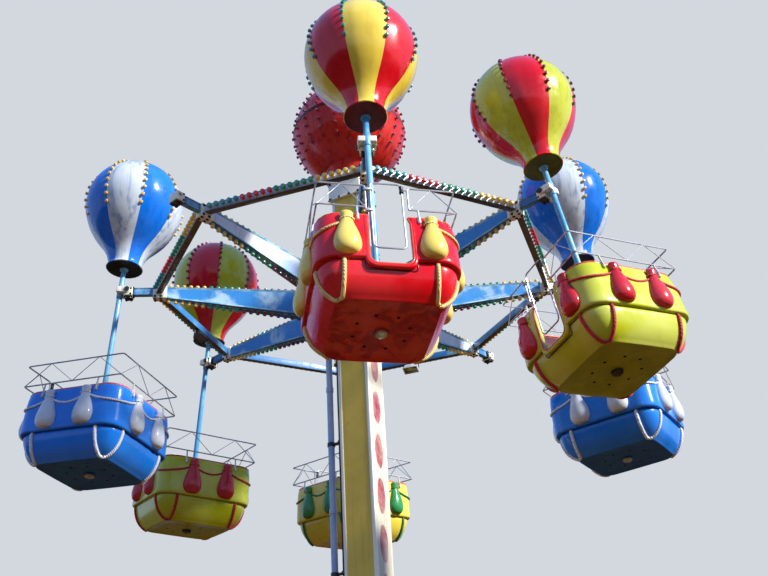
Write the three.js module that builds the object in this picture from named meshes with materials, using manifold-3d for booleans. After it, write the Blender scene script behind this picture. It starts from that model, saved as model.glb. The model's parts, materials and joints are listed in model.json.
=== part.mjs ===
// Balloon tower ride: a mast with a lifting, turning star of arms and swinging balloon gondolas.
// Millimetres, +Z up. The origin is the centre of the underside of the mast's base plate.
import * as THREE from 'three';
import { mergeVertices } from 'three/addons/utils/BufferGeometryUtils.js';
import Module from 'manifold-3d';

const wasm = await Module();
wasm.setup();

// Driving dimensions
const GAP = 0.3; // left between pieces that touch
const STAR_Z = 7600; // height of the arm pins with the carriage raised
const ARMS = 8;
const ARM_STEP = 360 / ARMS;
const PIN_R = 2758; // mast axis to gondola pin
const RING_R = 2400; // mast axis to the tie ring's corners
const MAST_TURN = -30; // degrees that the square mast is turned about its axis

const BASE = { side: 1000, thick: 40, gussetRun: 260, gussetRise: 420, gussetThick: 14, boltAt: 430 };
const MAST = { side: 380, wall: 12 };
const HEAD = { side: 460, bottom: 8870, height: 280, lid: 20 };
const CROWN = { radius: 740, above: 860, skirt: 330, foot: 240, wall: 10 };
const PIPE = { x: -410, radius: 37, top: 8760, hoseX: -290, hoseRadius: 11, hoseApart: 50 };
const CLAMP = { first: 1220, pitch: 1470, count: 6, width: 90, height: 50, reach: -450 };

const SLEEVE = { half: 235, bore: 205, bottom: -620, top: 550, slot: 65, slotReach: -475 };
const PAD = { width: 70, height: 90, slotWidth: 60 };
const TURNTABLE = { radius: 585, bottom: -470, thick: 30, rib: 150 };
const SLEW = { outer: 570, inner: 505 };
const HUB = { apothem: 640, wall: 14, inner: 505, bottom: -400, top: -30 };

const ARM = { hubHalf: 80, hubLow: -385, hubHigh: -55, half: 40, low: -95, high: 50, end: 2450 };
const STUB = { half: 32, depth: 45 };
const BLOCK = { back: -62, front: 42, half: 70, low: -70, high: 42 };
const TIE = { wide: 75, high: 90 };
const FLOOD = { long: 210, wide: 130, high: 90, drop: 45 };

const PIN = { radius: 20, clearance: 0.4, half: 103 };
const POLE = { x: 92, radius: 32, clearance: 0.4 };
const CHEEK = { inner: 73, outer: 93, back: -30, front: 126, collar: 62, half: 38 };
const MOUTH_Z = 321; // underside of the balloon's mouth plate, above the pin
const FLOOR_Z = -2300; // underside of the basket floor, below the pin
const FOOT = { radius: 44, thick: 24 };
const BALLOON = { radius: 600, mouth: 222, centre: 925, wall: 12, plate: 14, hole: 30 };

const RIM_Z = -1530;
const BASKET = { rim: 600, wall: 618, lip: 612, bowl: 590, sole: 440, corner: 200, shell: 28, floor: 44 };
const GROOVE = { level: 300, half: 580 }; // where the upper wall overhangs the bowl
const SLEEVE_TUBE = { radius: 60, high: 120 }; // round the pole, on the basket's floor
const NOTCH = { half: 180, bottom: -2050, round: 60 };
const BENCH = { top: -1900, thick: 36, inner: 330 };
const BAG = { wide: 120, deep: 66, tall: 220, x: 620, at: 225, besideDoor: 360, z: -1757 };
const RAIL = { half: 600, low: -1440, high: -1195, bar: 9, brace: 14, opening: 182 };
const CLIP = { at: 330, half: 14, inner: 578 };
const GATE = { x: 606, hinge: -140, free: 132, bottom: -1880, top: -1165, bar: 10, latch: -1255 };

// Where each gondola hangs: its arm, how far it swings out, how far its basket is turned on the pole
const RED = 0xd81a33;
const LIME = 0xdadb3a;
const BLUE = 0x0f63c8;
const YELLOW = 0xeccf5e;
const GONDOLAS = [
  { arm: 2, swing: 7.1, turn: 7, basket: RED, balloon: RED },
  { arm: 3, swing: 8.6, turn: -113, basket: LIME, balloon: LIME },
  { arm: 4, swing: 3.5, turn: 54, basket: BLUE, balloon: BLUE },
  { arm: 6, swing: 6, turn: 40, basket: YELLOW, balloon: YELLOW },
  { arm: 7, swing: 6.4, turn: -17, basket: LIME, balloon: LIME },
  { arm: 0, swing: 3.5, turn: -21, basket: BLUE, balloon: BLUE },
];

const ROUND = 8; // sides of a pole, pin or pipe
const WIRE = 6; // sides of the gate's wire

const rad = THREE.MathUtils.degToRad;
const armAzimuth = (arm) => -90 + ARM_STEP * (arm - 2);

function paint(colour, roughness = 0.35, metalness = 0) {
  return new THREE.MeshStandardMaterial({ color: colour, roughness, metalness, flatShading: true });
}

const MATERIALS = {
  steel: paint(0x6f7780, 0.5, 0.6),
  mast: paint(0xd7c364, 0.45),
  cream: paint(0xefe3b4, 0.45),
  crown: paint(0xc8200c, 0.3),
  pipe: paint(0x8fa9bf, 0.4),
  dark: paint(0x23262b, 0.6),
  star: paint(0x3d8fc6, 0.4),
  pole: paint(0x3a86bd, 0.35),
  wire: paint(0xb9c0c8, 0.35, 0.8),
};

// Closed geometry to manifold solid and back
function solid(geometry) {
  const bare = geometry.clone();
  bare.deleteAttribute('normal');
  bare.deleteAttribute('uv');
  const merged = mergeVertices(bare, 1e-3);
  const index = merged.index.array;
  const triangles = [];
  for (let i = 0; i < index.length; i += 3) {
    const [a, b, c] = [index[i], index[i + 1], index[i + 2]];
    if (a !== b && b !== c && c !== a) triangles.push(a, b, c);
  }
  return new wasm.Manifold(new wasm.Mesh({
    numProp: 3,
    vertProperties: new Float32Array(merged.attributes.position.array),
    triVerts: new Uint32Array(triangles),
  }));
}

function surface(body) {
  const mesh = body.getMesh();
  const geometry = new THREE.BufferGeometry();
  geometry.setAttribute('position', new THREE.BufferAttribute(new Float32Array(mesh.vertProperties), 3));
  geometry.setIndex(new THREE.BufferAttribute(new Uint32Array(mesh.triVerts), 1));
  return geometry;
}

function join(geometries, cuts = []) {
  let body = solid(geometries[0]);
  for (const geometry of geometries.slice(1)) body = body.add(solid(geometry));
  for (const geometry of cuts) body = body.subtract(solid(geometry));
  return surface(body);
}

// Simple shapes, all with +Z up
function block(x0, x1, y0, y1, z0, z1) {
  const box = new THREE.BoxGeometry(x1 - x0, y1 - y0, z1 - z0);
  return box.translate((x0 + x1) / 2, (y0 + y1) / 2, (z0 + z1) / 2);
}

// A box whose width and height change from its near end to its far end
function taperedBeam(near, far) {
  const box = new THREE.BoxGeometry(1, 1, 1);
  const place = box.attributes.position;
  for (let i = 0; i < place.count; i += 1) {
    const end = place.getX(i) < 0 ? near : far;
    place.setXYZ(i, end.x, end.half * Math.sign(place.getY(i)), place.getZ(i) < 0 ? end.low : end.high);
  }
  return box;
}

function rod(x, y, z0, z1, radius, sides = ROUND) {
  const cylinder = new THREE.CylinderGeometry(radius, radius, z1 - z0, sides);
  return cylinder.rotateX(Math.PI / 2).translate(x, y, (z0 + z1) / 2);
}

// A turned body: the profile lists [radius, height] and runs so that its solid side is on the left
function turned(profile, sides = 16, start = 0) {
  const points = profile.map(([radius, height]) => new THREE.Vector2(radius, height));
  return new THREE.LatheGeometry(points, sides, rad(start)).rotateX(Math.PI / 2);
}

// The same on a square plan with round corners: the profile lists [half width, height]
function turnedSquare(profile, corner) {
  const perCorner = 3;
  const sides = 4 * perCorner;
  const body = turned(profile, sides);
  const place = body.attributes.position;
  for (let i = 0; i <= sides; i += 1) {
    const quarter = Math.floor(i / perCorner) % 4;
    const angle = rad(90 * quarter + (90 / (perCorner - 1)) * (i % perCorner));
    const signX = quarter === 0 || quarter === 3 ? 1 : -1;
    const signY = quarter < 2 ? 1 : -1;
    for (let j = 0; j < profile.length; j += 1) {
      const [half, height] = profile[j];
      const round = Math.min(corner, half * 0.6);
      const x = signX * (half - round) + round * Math.cos(angle);
      const y = signY * (half - round) + round * Math.sin(angle);
      place.setXYZ(i * profile.length + j, x, y, height);
    }
  }
  return body;
}

function arc(centre, radius, from, to, steps) {
  const points = [];
  for (let i = 0; i <= steps; i += 1) {
    const angle = rad(from + ((to - from) * i) / steps);
    points.push([radius * Math.cos(angle), centre + radius * Math.sin(angle)]);
  }
  return points;
}

function piece(name, geometry, material) {
  const mesh = new THREE.Mesh(geometry, material);
  mesh.name = name;
  return mesh;
}

// The standing tower
function basePlate() {
  const half = BASE.side / 2;
  const parts = [block(-half, half, -half, half, 0, BASE.thick)];
  const triangle = new THREE.Shape();
  triangle.moveTo(0, 0);
  triangle.lineTo(BASE.gussetRun, 0);
  triangle.lineTo(BASE.gussetRun, 30);
  triangle.lineTo(30, BASE.gussetRise);
  triangle.lineTo(0, BASE.gussetRise);
  for (let face = 0; face < 4; face += 1) {
    for (const side of [-1, 1]) {
      const gusset = new THREE.ExtrudeGeometry(triangle, { depth: BASE.gussetThick, bevelEnabled: false });
      gusset.rotateX(Math.PI / 2);
      gusset.translate(MAST.side / 2 + GAP, side * 120 + BASE.gussetThick / 2, BASE.thick - 1);
      parts.push(gusset.rotateZ(rad(90 * face)));
    }
    const bolt = rod(BASE.boltAt, BASE.boltAt, BASE.thick - 1, BASE.thick + 45, 26, 6);
    parts.push(bolt.rotateZ(rad(90 * face)));
  }
  return join(parts);
}

function squareTube(side, wall, length) {
  const half = side / 2;
  const outline = new THREE.Shape();
  outline.moveTo(-half, -half);
  outline.lineTo(half, -half);
  outline.lineTo(half, half);
  outline.lineTo(-half, half);
  const inner = half - wall;
  const hole = new THREE.Path();
  hole.moveTo(-inner, -inner);
  hole.lineTo(-inner, inner);
  hole.lineTo(inner, inner);
  hole.lineTo(inner, -inner);
  outline.holes.push(hole);
  return new THREE.ExtrudeGeometry(outline, { depth: length, bevelEnabled: false });
}

function mast() {
  const bottom = BASE.thick + GAP;
  const top = HEAD.bottom + HEAD.height - HEAD.lid - GAP;
  return squareTube(MAST.side, MAST.wall, top - bottom).translate(0, 0, bottom);
}

function mastHead() {
  const half = HEAD.side / 2;
  const inner = MAST.side / 2 + GAP;
  const top = HEAD.bottom + HEAD.height;
  const outer = block(-half, half, -half, half, HEAD.bottom, top);
  return join([outer], [block(-inner, inner, -inner, inner, HEAD.bottom - 10, top - HEAD.lid)]);
}

function crownBall() {
  const foot = HEAD.bottom + HEAD.height + GAP;
  const centre = HEAD.bottom + HEAD.height + CROWN.above;
  const start = -THREE.MathUtils.radToDeg(Math.acos(CROWN.skirt / CROWN.radius));
  const inside = CROWN.radius - CROWN.wall;
  return turned([
    [CROWN.foot - 60, foot],
    [CROWN.foot, foot],
    ...arc(centre, CROWN.radius, start, -4, 3),
    [CROWN.radius + 14, centre - 10],
    [CROWN.radius + 14, centre + 10],
    ...arc(centre, CROWN.radius, 4, 90, 4),
    ...arc(centre, inside, 90, start, 5),
    [CROWN.foot - 15, foot + 15],
    [CROWN.foot - 60, foot + 15],
    [CROWN.foot - 60, foot],
  ], 16);
}

function liftPipe() {
  const parts = [rod(PIPE.x, 0, BASE.thick + GAP, PIPE.top, PIPE.radius)];
  for (const side of [-1, 1]) {
    const y = (side * PIPE.hoseApart) / 2;
    parts.push(rod(PIPE.hoseX, y, BASE.thick + GAP, PIPE.top - 120, PIPE.hoseRadius, WIRE));
  }
  for (let i = 0; i < CLAMP.count; i += 1) {
    const z = CLAMP.first + CLAMP.pitch * i;
    const near = -MAST.side / 2 - GAP;
    parts.push(block(CLAMP.reach, near, -CLAMP.width / 2, CLAMP.width / 2, z, z + CLAMP.height));
  }
  return join(parts);
}

// The carriage that climbs the mast, heights measured from the arm pins
function carriageSleeve() {
  const { half, bore, bottom, top, slot, slotReach } = SLEEVE;
  const plateTop = TURNTABLE.bottom + TURNTABLE.thick;
  const parts = [
    block(-half, half, -half, half, bottom, top),
    rod(0, 0, TURNTABLE.bottom, plateTop, TURNTABLE.radius, 16),
  ];
  for (const face of [0, 1, 3]) {
    const rib = block(half - 5, TURNTABLE.radius - 40, -10, 10, TURNTABLE.bottom - TURNTABLE.rib, plateTop - 5);
    parts.push(rib.rotateZ(rad(90 * face)));
  }
  const cuts = [
    block(-bore, bore, -bore, bore, bottom - 10, top + 10),
    block(slotReach, 0, -slot, slot, bottom - 10, top + 10),
  ];
  const shell = solid(join(parts, cuts));
  return surface(wearPads().reduce((body, pad) => body.add(solid(pad)), shell));
}

// Sliding pads that fill the space between the sleeve and the mast
function wearPads() {
  const near = MAST.side / 2 + GAP;
  const far = SLEEVE.bore + 5;
  const pads = [];
  for (const low of [SLEEVE.bottom + 20, SLEEVE.top - 20 - PAD.height]) {
    const high = low + PAD.height;
    for (const face of [0, 1, 3]) {
      for (const side of [-1, 1]) {
        const y = side * 120;
        const pad = block(near, far, y - PAD.width / 2, y + PAD.width / 2, low, high);
        pads.push(pad.rotateZ(rad(90 * face)));
      }
    }
    for (const side of [-1, 1]) {
      const y = side * (SLEEVE.slot + 15 + PAD.slotWidth / 2);
      pads.push(block(-far, -near, y - PAD.slotWidth / 2, y + PAD.slotWidth / 2, low, high));
    }
  }
  return pads;
}

function slewingRing() {
  const low = TURNTABLE.bottom + TURNTABLE.thick + GAP;
  const high = HUB.bottom - GAP;
  return turned([
    [SLEW.inner, low],
    [SLEW.outer, low],
    [SLEW.outer, high],
    [SLEW.inner, high],
    [SLEW.inner, low],
  ]);
}

// The turning star, heights measured from the arm pins
function hubDrum() {
  const sides = 2 * ARMS;
  const toCorner = 1 / Math.cos(Math.PI / sides);
  const outer = HUB.apothem * toCorner;
  const inner = (HUB.apothem - HUB.wall) * toCorner;
  const mouth = HUB.inner * toCorner;
  return turned([
    [mouth, HUB.bottom],
    [outer, HUB.bottom],
    [outer, HUB.top],
    [mouth, HUB.top],
    [mouth, HUB.top - HUB.wall],
    [inner, HUB.top - HUB.wall],
    [inner, HUB.bottom + HUB.wall],
    [mouth, HUB.bottom + HUB.wall],
    [mouth, HUB.bottom],
  ], sides, 180 / sides);
}

function armBeam() {
  const near = { x: HUB.apothem + GAP, half: ARM.hubHalf, low: ARM.hubLow, high: ARM.hubHigh };
  const ring = { x: RING_R - 70, half: ARM.half, low: ARM.low, high: ARM.high };
  const bearing = block(
    PIN_R + BLOCK.back, PIN_R + BLOCK.front, -BLOCK.half, BLOCK.half, BLOCK.low, BLOCK.high,
  );
  const parts = [
    taperedBeam(near, ring),
    block(ring.x - 1, ARM.end, -ARM.half, ARM.half, ARM.low, ARM.high),
    block(ARM.end - 5, PIN_R + BLOCK.back + 5, -STUB.half, STUB.half, -STUB.depth, STUB.depth),
    bearing,
  ];
  const bore = (PIN.radius + PIN.clearance) / Math.cos(Math.PI / ROUND);
  const hole = rod(0, 0, -BLOCK.half - 10, BLOCK.half + 10, bore);
  return join(parts, [hole.rotateX(Math.PI / 2).translate(PIN_R, 0, 0)]);
}

// A tie's ends are mitred to lie along the sides of the arms that it joins
function tieBeam() {
  const slant = Math.tan(rad(ARM_STEP / 2));
  const middle = RING_R * Math.cos(rad(ARM_STEP / 2));
  const reach = (x) => x * slant - (ARM.half + GAP) / Math.cos(rad(ARM_STEP / 2));
  const box = new THREE.BoxGeometry(TIE.wide, 1, TIE.high);
  const place = box.attributes.position;
  for (let i = 0; i < place.count; i += 1) {
    const x = middle + place.getX(i);
    place.setXYZ(i, x, reach(x) * Math.sign(place.getY(i)), place.getZ(i));
  }
  return box;
}

// A floodlight housing that hangs under a tie, tipped to face outwards
function floodlight(along) {
  const x = RING_R * Math.cos(rad(ARM_STEP / 2));
  const top = -TIE.high / 2 - GAP;
  const bracket = block(x - 15, x + 15, along - 25, along + 25, top - FLOOD.drop, top);
  const housing = block(-FLOOD.wide / 2, FLOOD.wide / 2, -FLOOD.long / 2, FLOOD.long / 2, -FLOOD.high, 0);
  housing.rotateY(rad(20)).translate(x, along, top - FLOOD.drop + 20);
  return join([bracket, housing]);
}

// A gondola, measured from the arm pin that it swings on
function hanger(swing) {
  const pin = rod(0, 0, -PIN.half, PIN.half, PIN.radius).rotateX(Math.PI / 2);
  pin.rotateY(rad(swing + 180 / ROUND)); // its edges meet the middles of the bore's flats
  const parts = [
    rod(POLE.x, 0, FLOOR_Z - FOOT.thick + 4, MOUTH_Z - 10, POLE.radius),
    pin,
    block(CHEEK.collar, CHEEK.front, -CHEEK.outer, CHEEK.outer, -CHEEK.half, CHEEK.half),
    block(CHEEK.back, CHEEK.collar + 10, CHEEK.inner, CHEEK.outer, -CHEEK.half, CHEEK.half),
    block(CHEEK.back, CHEEK.collar + 10, -CHEEK.outer, -CHEEK.inner, -CHEEK.half, CHEEK.half),
    rod(POLE.x, 0, MOUTH_Z - 16, MOUTH_Z - GAP, 70),
    rod(POLE.x, 0, FLOOR_Z - FOOT.thick, FLOOR_Z - GAP, FOOT.radius),
  ];
  return join(parts);
}

function balloon() {
  const centre = MOUTH_Z + BALLOON.centre;
  const { radius, mouth, wall, plate, hole } = BALLOON;
  return turned([
    [hole, MOUTH_Z],
    [mouth, MOUTH_Z],
    [mouth, MOUTH_Z + 26],
    [0.62 * radius, MOUTH_Z + 345],
    ...arc(centre, radius, -25, 62, 3),
    [0, centre + radius],
    [0, centre + radius - wall],
    ...arc(centre, radius - 2 * wall, 55, -25, 2),
    [0.62 * radius - 2 * wall, MOUTH_Z + 350],
    [mouth - wall, MOUTH_Z + 30],
    [mouth - wall, MOUTH_Z + plate],
    [hole, MOUTH_Z + plate],
    [hole, MOUTH_Z],
  ], 12);
}

// A basket turns about the pole, so it is measured from the pole's axis
function basket() {
  const { rim, wall, lip, bowl, sole, corner, shell, floor } = BASKET;
  const inner = rim - shell;
  const groove = FLOOR_Z + GROOVE.level;
  const tubeTop = FLOOR_Z + floor + SLEEVE_TUBE.high;
  const shape = turnedSquare([
    [0, FLOOR_Z],
    [sole, FLOOR_Z],
    [0.9 * bowl, FLOOR_Z + 60],
    [0.98 * bowl, FLOOR_Z + 165],
    [bowl, groove - 12],
    [GROOVE.half, groove],
    [lip, groove + 8],
    [wall, groove + 140],
    [wall, RIM_Z - 140],
    [rim, RIM_Z],
    [inner, RIM_Z],
    [inner, groove + 60],
    [GROOVE.half - shell, groove - 40],
    [400, FLOOR_Z + floor],
    [0, FLOOR_Z + floor],
  ], corner);
  const post = rod(0, 0, FLOOR_Z + floor - 5, tubeTop, SLEEVE_TUBE.radius);
  const bore = (POLE.radius + POLE.clearance) / Math.cos(Math.PI / ROUND);
  const { half, bottom, round } = NOTCH;
  const [near, far] = [rim - 2 * shell, rim + 100];
  const doorway = block(near, far, -half, half, bottom + round, RIM_Z + 10);
  const sill = block(near, far, round - half, half - round, bottom, bottom + round + 10);
  const hole = rod(0, 0, FLOOR_Z - 10, tubeTop + 10, bore);
  return join([shape, bench(inner + 8), post, ...sandbags()], [doorway, sill, hole]);
}

// The bench runs round the inside of the wall and stays open in the middle
function bench(outer) {
  const low = BENCH.top - BENCH.thick;
  const slab = turnedSquare([[0, low], [outer, low], [outer, BENCH.top], [0, BENCH.top]], BASKET.corner);
  const front = outer - BASKET.shell;
  const well = block(-BENCH.inner, front, -BENCH.inner, BENCH.inner, low - 10, BENCH.top + 10);
  return join([slab], [well]);
}

// Two bags on each face, half sunk into it
function sandbags() {
  const bags = [];
  for (let face = 0; face < 4; face += 1) {
    for (const side of [-1, 1]) {
      const bag = new THREE.SphereGeometry(1, 4, 3).rotateX(Math.PI / 2).rotateZ(Math.PI / 4);
      bag.scale(BAG.deep, BAG.wide, BAG.tall);
      bag.translate(BAG.x, side * (face === 0 ? BAG.besideDoor : BAG.at), BAG.z);
      bags.push(bag.rotateZ(rad(90 * face)));
    }
  }
  return bags;
}

// One flat panel of the guard rail along X: two rails with a zigzag of braces left between holes
function railPanel(from, to, braces) {
  const { low, high, bar: thick, brace } = RAIL;
  const floor = low + thick;
  const roof = high - thick;
  const step = (to - from) / braces;
  const holes = [];
  for (let k = 0; k <= braces; k += 1) {
    const [base, tip] = k % 2 ? [floor, roof] : [roof, floor];
    const left = Math.max(from + step * (k - 1) + 2 * brace, from + 2 * thick);
    const right = Math.min(from + step * (k + 1) - 2 * brace, to - 2 * thick);
    const triangle = new THREE.Shape();
    triangle.moveTo(left, base);
    triangle.lineTo(right, base);
    triangle.lineTo(Math.min(Math.max(from + step * k, left), right), tip);
    const hole = new THREE.ExtrudeGeometry(triangle, { depth: 4 * thick, bevelEnabled: false });
    holes.push(hole.rotateX(Math.PI / 2).translate(0, 2 * thick, 0));
  }
  return join([block(from, to, -thick, thick, low - thick, high + thick)], holes);
}

// The guard rail goes round the basket, stops at the doorway and is clipped to the rim
function guardRail() {
  const { half, low, high, bar: thick, opening } = RAIL;
  const parts = [];
  for (const face of [1, 2, 3]) {
    const panel = railPanel(-half - thick, half + thick, 4);
    parts.push(panel.translate(0, -half, 0).rotateZ(rad(90 * face + 90)));
    for (const side of [-1, 1]) parts.push(clip(side * CLIP.at).rotateZ(rad(90 * face)));
  }
  for (const side of [-1, 1]) {
    const panel = side > 0 ? railPanel(opening, half + thick, 2) : railPanel(-half - thick, -opening, 2);
    parts.push(panel.translate(0, -half, 0).rotateZ(rad(90)));
    parts.push(clip(side * (opening + CLIP.half)));
  }
  const eyes = [high - 60, low - 50].map((z) => (
    block(half - thick, half + 22, -opening - thick, GATE.hinge + 18, z, z + 24)
  ));
  const bore = (GATE.bar + GAP) / Math.cos(Math.PI / WIRE);
  return join([...parts, ...eyes], [rod(GATE.x, GATE.hinge, low - 70, high - 20, bore, WIRE)]);
}

function clip(y) {
  const outer = RAIL.half + RAIL.bar;
  return block(CLIP.inner, outer, y - CLIP.half, y + CLIP.half, RIM_Z + GAP, RAIL.low);
}

// The doorway's wire gate, hinged in the guard rail's two eyes
function gate() {
  const { x, hinge, free, bottom, top, bar: thick, latch } = GATE;
  const seat = RAIL.low - 50 + 24 + GAP;
  const across = (z) => rod(0, 0, hinge - 4, free + 4, thick, WIRE).rotateX(-Math.PI / 2).translate(x, 0, z);
  const parts = [
    rod(x, hinge, bottom, top, thick, WIRE),
    rod(x, free, bottom, top, thick, WIRE),
    across(bottom),
    across(top),
    rod(x, hinge, seat, seat + 14, thick + 7, WIRE),
    block(x - 18, x + 18, free - 25, free + 25, latch, latch + 60),
    block(x - 8, x + 8, free, RAIL.opening - 1, latch + 20, latch + 40),
  ];
  return join(parts);
}

// Assembly
function group(children, position = [0, 0, 0], rotation = [0, 0, 0]) {
  const holder = new THREE.Group();
  holder.position.set(...position);
  holder.rotation.set(...rotation.map(rad));
  holder.add(...children);
  return holder;
}

function tower() {
  return group([
    piece('base_plate', basePlate(), MATERIALS.steel),
    piece('mast', mast(), MATERIALS.mast),
    piece('mast_head', mastHead(), MATERIALS.cream),
    piece('crown_ball', crownBall(), MATERIALS.crown),
    piece('lift_pipe', liftPipe(), MATERIALS.pipe),
  ], [0, 0, 0], [0, 0, MAST_TURN]);
}

function carriage() {
  return group([
    piece('carriage_sleeve', carriageSleeve(), MATERIALS.dark),
    piece('slewing_ring', slewingRing(), MATERIALS.steel),
  ], [0, 0, STAR_Z], [0, 0, MAST_TURN]);
}

function spider() {
  const children = [piece('hub', hubDrum(), MATERIALS.star)];
  for (let arm = 0; arm < ARMS; arm += 1) {
    const beam = piece(`arm_${arm}`, armBeam(), MATERIALS.star);
    const tie = piece(`tie_${arm}`, tieBeam(), MATERIALS.star);
    children.push(group([beam], [0, 0, 0], [0, 0, armAzimuth(arm)]));
    children.push(group([tie], [0, 0, 0], [0, 0, armAzimuth(arm) + ARM_STEP / 2]));
  }
  const front = piece('floodlight_7', floodlight(-120), MATERIALS.dark);
  const rear = piece('floodlight_5', floodlight(0), MATERIALS.cream);
  children.push(group([front], [0, 0, 0], [0, 0, armAzimuth(7) + ARM_STEP / 2]));
  children.push(group([rear], [0, 0, 0], [0, 0, armAzimuth(5) + ARM_STEP / 2]));
  return group(children, [0, 0, STAR_Z]);
}

function gondola(setting) {
  const { arm, swing, turn } = setting;
  const shell = paint(setting.balloon, 0.25);
  const turning = group([
    piece(`basket_${arm}`, basket(), paint(setting.basket, 0.28)),
    piece(`guard_rail_${arm}`, guardRail(), MATERIALS.wire),
    piece(`gate_${arm}`, gate(), MATERIALS.wire),
  ], [POLE.x, 0, 0], [0, 0, turn]);
  const swinging = group([
    piece(`hanger_${arm}`, hanger(swing), MATERIALS.pole),
    piece(`balloon_${arm}`, balloon().translate(POLE.x, 0, 0), shell),
    turning,
  ], [PIN_R, 0, 0], [0, -swing, 0]);
  return group([swinging], [0, 0, STAR_Z], [0, 0, armAzimuth(arm)]);
}

export default group([tower(), carriage(), spider(), ...GONDOLAS.map(gondola)]);
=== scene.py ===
"""Balloon tower ride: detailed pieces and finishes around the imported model, laid out as an add-on."""

import json
import math

import bmesh
import bpy
from mathutils import Matrix, Vector


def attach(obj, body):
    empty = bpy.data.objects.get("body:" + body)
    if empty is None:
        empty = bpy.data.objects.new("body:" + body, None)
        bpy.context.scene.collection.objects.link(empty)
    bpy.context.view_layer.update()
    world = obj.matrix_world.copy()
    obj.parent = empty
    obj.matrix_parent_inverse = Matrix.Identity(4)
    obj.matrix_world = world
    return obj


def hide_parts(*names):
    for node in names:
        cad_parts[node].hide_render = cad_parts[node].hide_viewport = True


bl_info = {
    "name": "Balloon tower ride",
    "version": (1, 0, 0),
    "blender": (4, 5, 0),
    "location": "View3D > Sidebar > Ride",
    "description": "Builds the balloon tower ride piece by piece around its packed frame",
    "category": "Add Mesh",
}

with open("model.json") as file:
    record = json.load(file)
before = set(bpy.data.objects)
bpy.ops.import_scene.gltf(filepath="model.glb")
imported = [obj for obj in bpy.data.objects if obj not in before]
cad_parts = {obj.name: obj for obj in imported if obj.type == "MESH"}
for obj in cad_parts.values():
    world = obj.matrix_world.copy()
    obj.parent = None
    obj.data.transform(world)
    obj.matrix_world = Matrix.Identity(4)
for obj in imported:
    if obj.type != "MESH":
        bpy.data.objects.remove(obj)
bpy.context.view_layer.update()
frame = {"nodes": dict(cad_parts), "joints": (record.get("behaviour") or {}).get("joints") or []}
JOINTS = {joint["name"]: joint for joint in frame["joints"]}

# Places and sizes in metres, the same as the solids'
STAR_Z = 7.6
TOWER_TURN = math.radians(-30)
PIN_R = 2.758
RING_R = 2.4
ARMS = 8
ARM_STEP = 360 / ARMS
FRONT_ARM = 2
POLE_X = 0.092
MOUTH_Z = 0.321
FLOOR_Z = -2.3
RIM_Z = -1.53
GROOVE_Z = FLOOR_Z + 0.3
RAIL_HALF = 0.6
RAIL_LOW = -1.44
RAIL_HIGH = -1.195
DOOR_HALF = 0.18
DOOR_SILL = -2.05
GATE_X = 0.606
GATE_HINGE = -0.14
CROWN_Z = 10.01
CROWN_R = 0.74
HEAD_LOW = 8.87
HEAD_TOP = 9.15
MAST_LOW = 0.045
MAST_SOCKET = 0.1903
HALF_STEP = math.radians(ARM_STEP / 2)
TIE_X = RING_R * math.cos(HALF_STEP)
ARM_ROOT = 0.6403
ARM_END = 2.33
ARM_HIGH = -0.055
ARM_LOW = -0.385
ARM_LAMPS_FROM = 2.26
ARM_LAMPS_TO = 0.7
PIPE_X = -0.41
PIPE_TOP = 8.76
CLAMP_STEP = 1.47

# The outside of the basket from the floor's edge to the rim, and its inside from the rim to the floor:
# half width and height above the floor's underside
BASKET_OUTSIDE = [
    (0.418, 0.008), (0.426, 0.002), (0.435, 0.0), (0.443, 0.004), (0.450, 0.014), (0.474, 0.034),
    (0.506, 0.068), (0.536, 0.112), (0.559, 0.16), (0.575, 0.21), (0.584, 0.25), (0.587, 0.275),
    (0.584, 0.29), (0.577, 0.297), (0.577, 0.301), (0.602, 0.301), (0.613, 0.304), (0.620, 0.314),
    (0.622, 0.332), (0.621, 0.37), (0.619, 0.45), (0.617, 0.55), (0.613, 0.64), (0.607, 0.71),
    (0.601, 0.752), (0.598, 0.764), (0.592, 0.77),
]
BASKET_INSIDE = [(0.576, 0.77), (0.571, 0.762), (0.571, 0.37), (0.552, 0.26), (0.47, 0.12), (0.4, 0.046)]
BASKET_CORNER = 0.2
BASKET_WIDEST = 0.622
FLAT_HALF = BASKET_WIDEST - BASKET_CORNER
QUARTER = 2 * FLAT_HALF + math.pi / 2 * BASKET_CORNER

# The envelope's neck above the mouth: radius and height over the mouth's underside
ENVELOPE_NECK = [
    (0.219, 0.018), (0.206, 0.026), (0.203, 0.05), (0.208, 0.09), (0.224, 0.15), (0.252, 0.215),
    (0.295, 0.28), (0.347, 0.345), (0.402, 0.41), (0.453, 0.48), (0.500, 0.56), (0.530, 0.625),
]
ENVELOPE_R = 0.6
ENVELOPE_CENTRE = 0.925
GORES = 8
GORE_TURN = 360 / GORES
FLOOR_HOLES = 8
HOLE_RING = 0.245

# The bags, ropes, lip and clips on the basket's wall: heights above the pin, and places across a face
BAG_LOW = -1.978
BAG_MIDDLE = -1.77
BAG_AT = 0.225
BAG_AT_DOOR = 0.36
NECK_Z = BAG_LOW + 0.358
LEG_AT = 0.385
LIP_R = 0.023
CLIP_AT = 0.33
CLIP_AT_DOOR = 0.262
PROUD = 0.006

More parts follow.
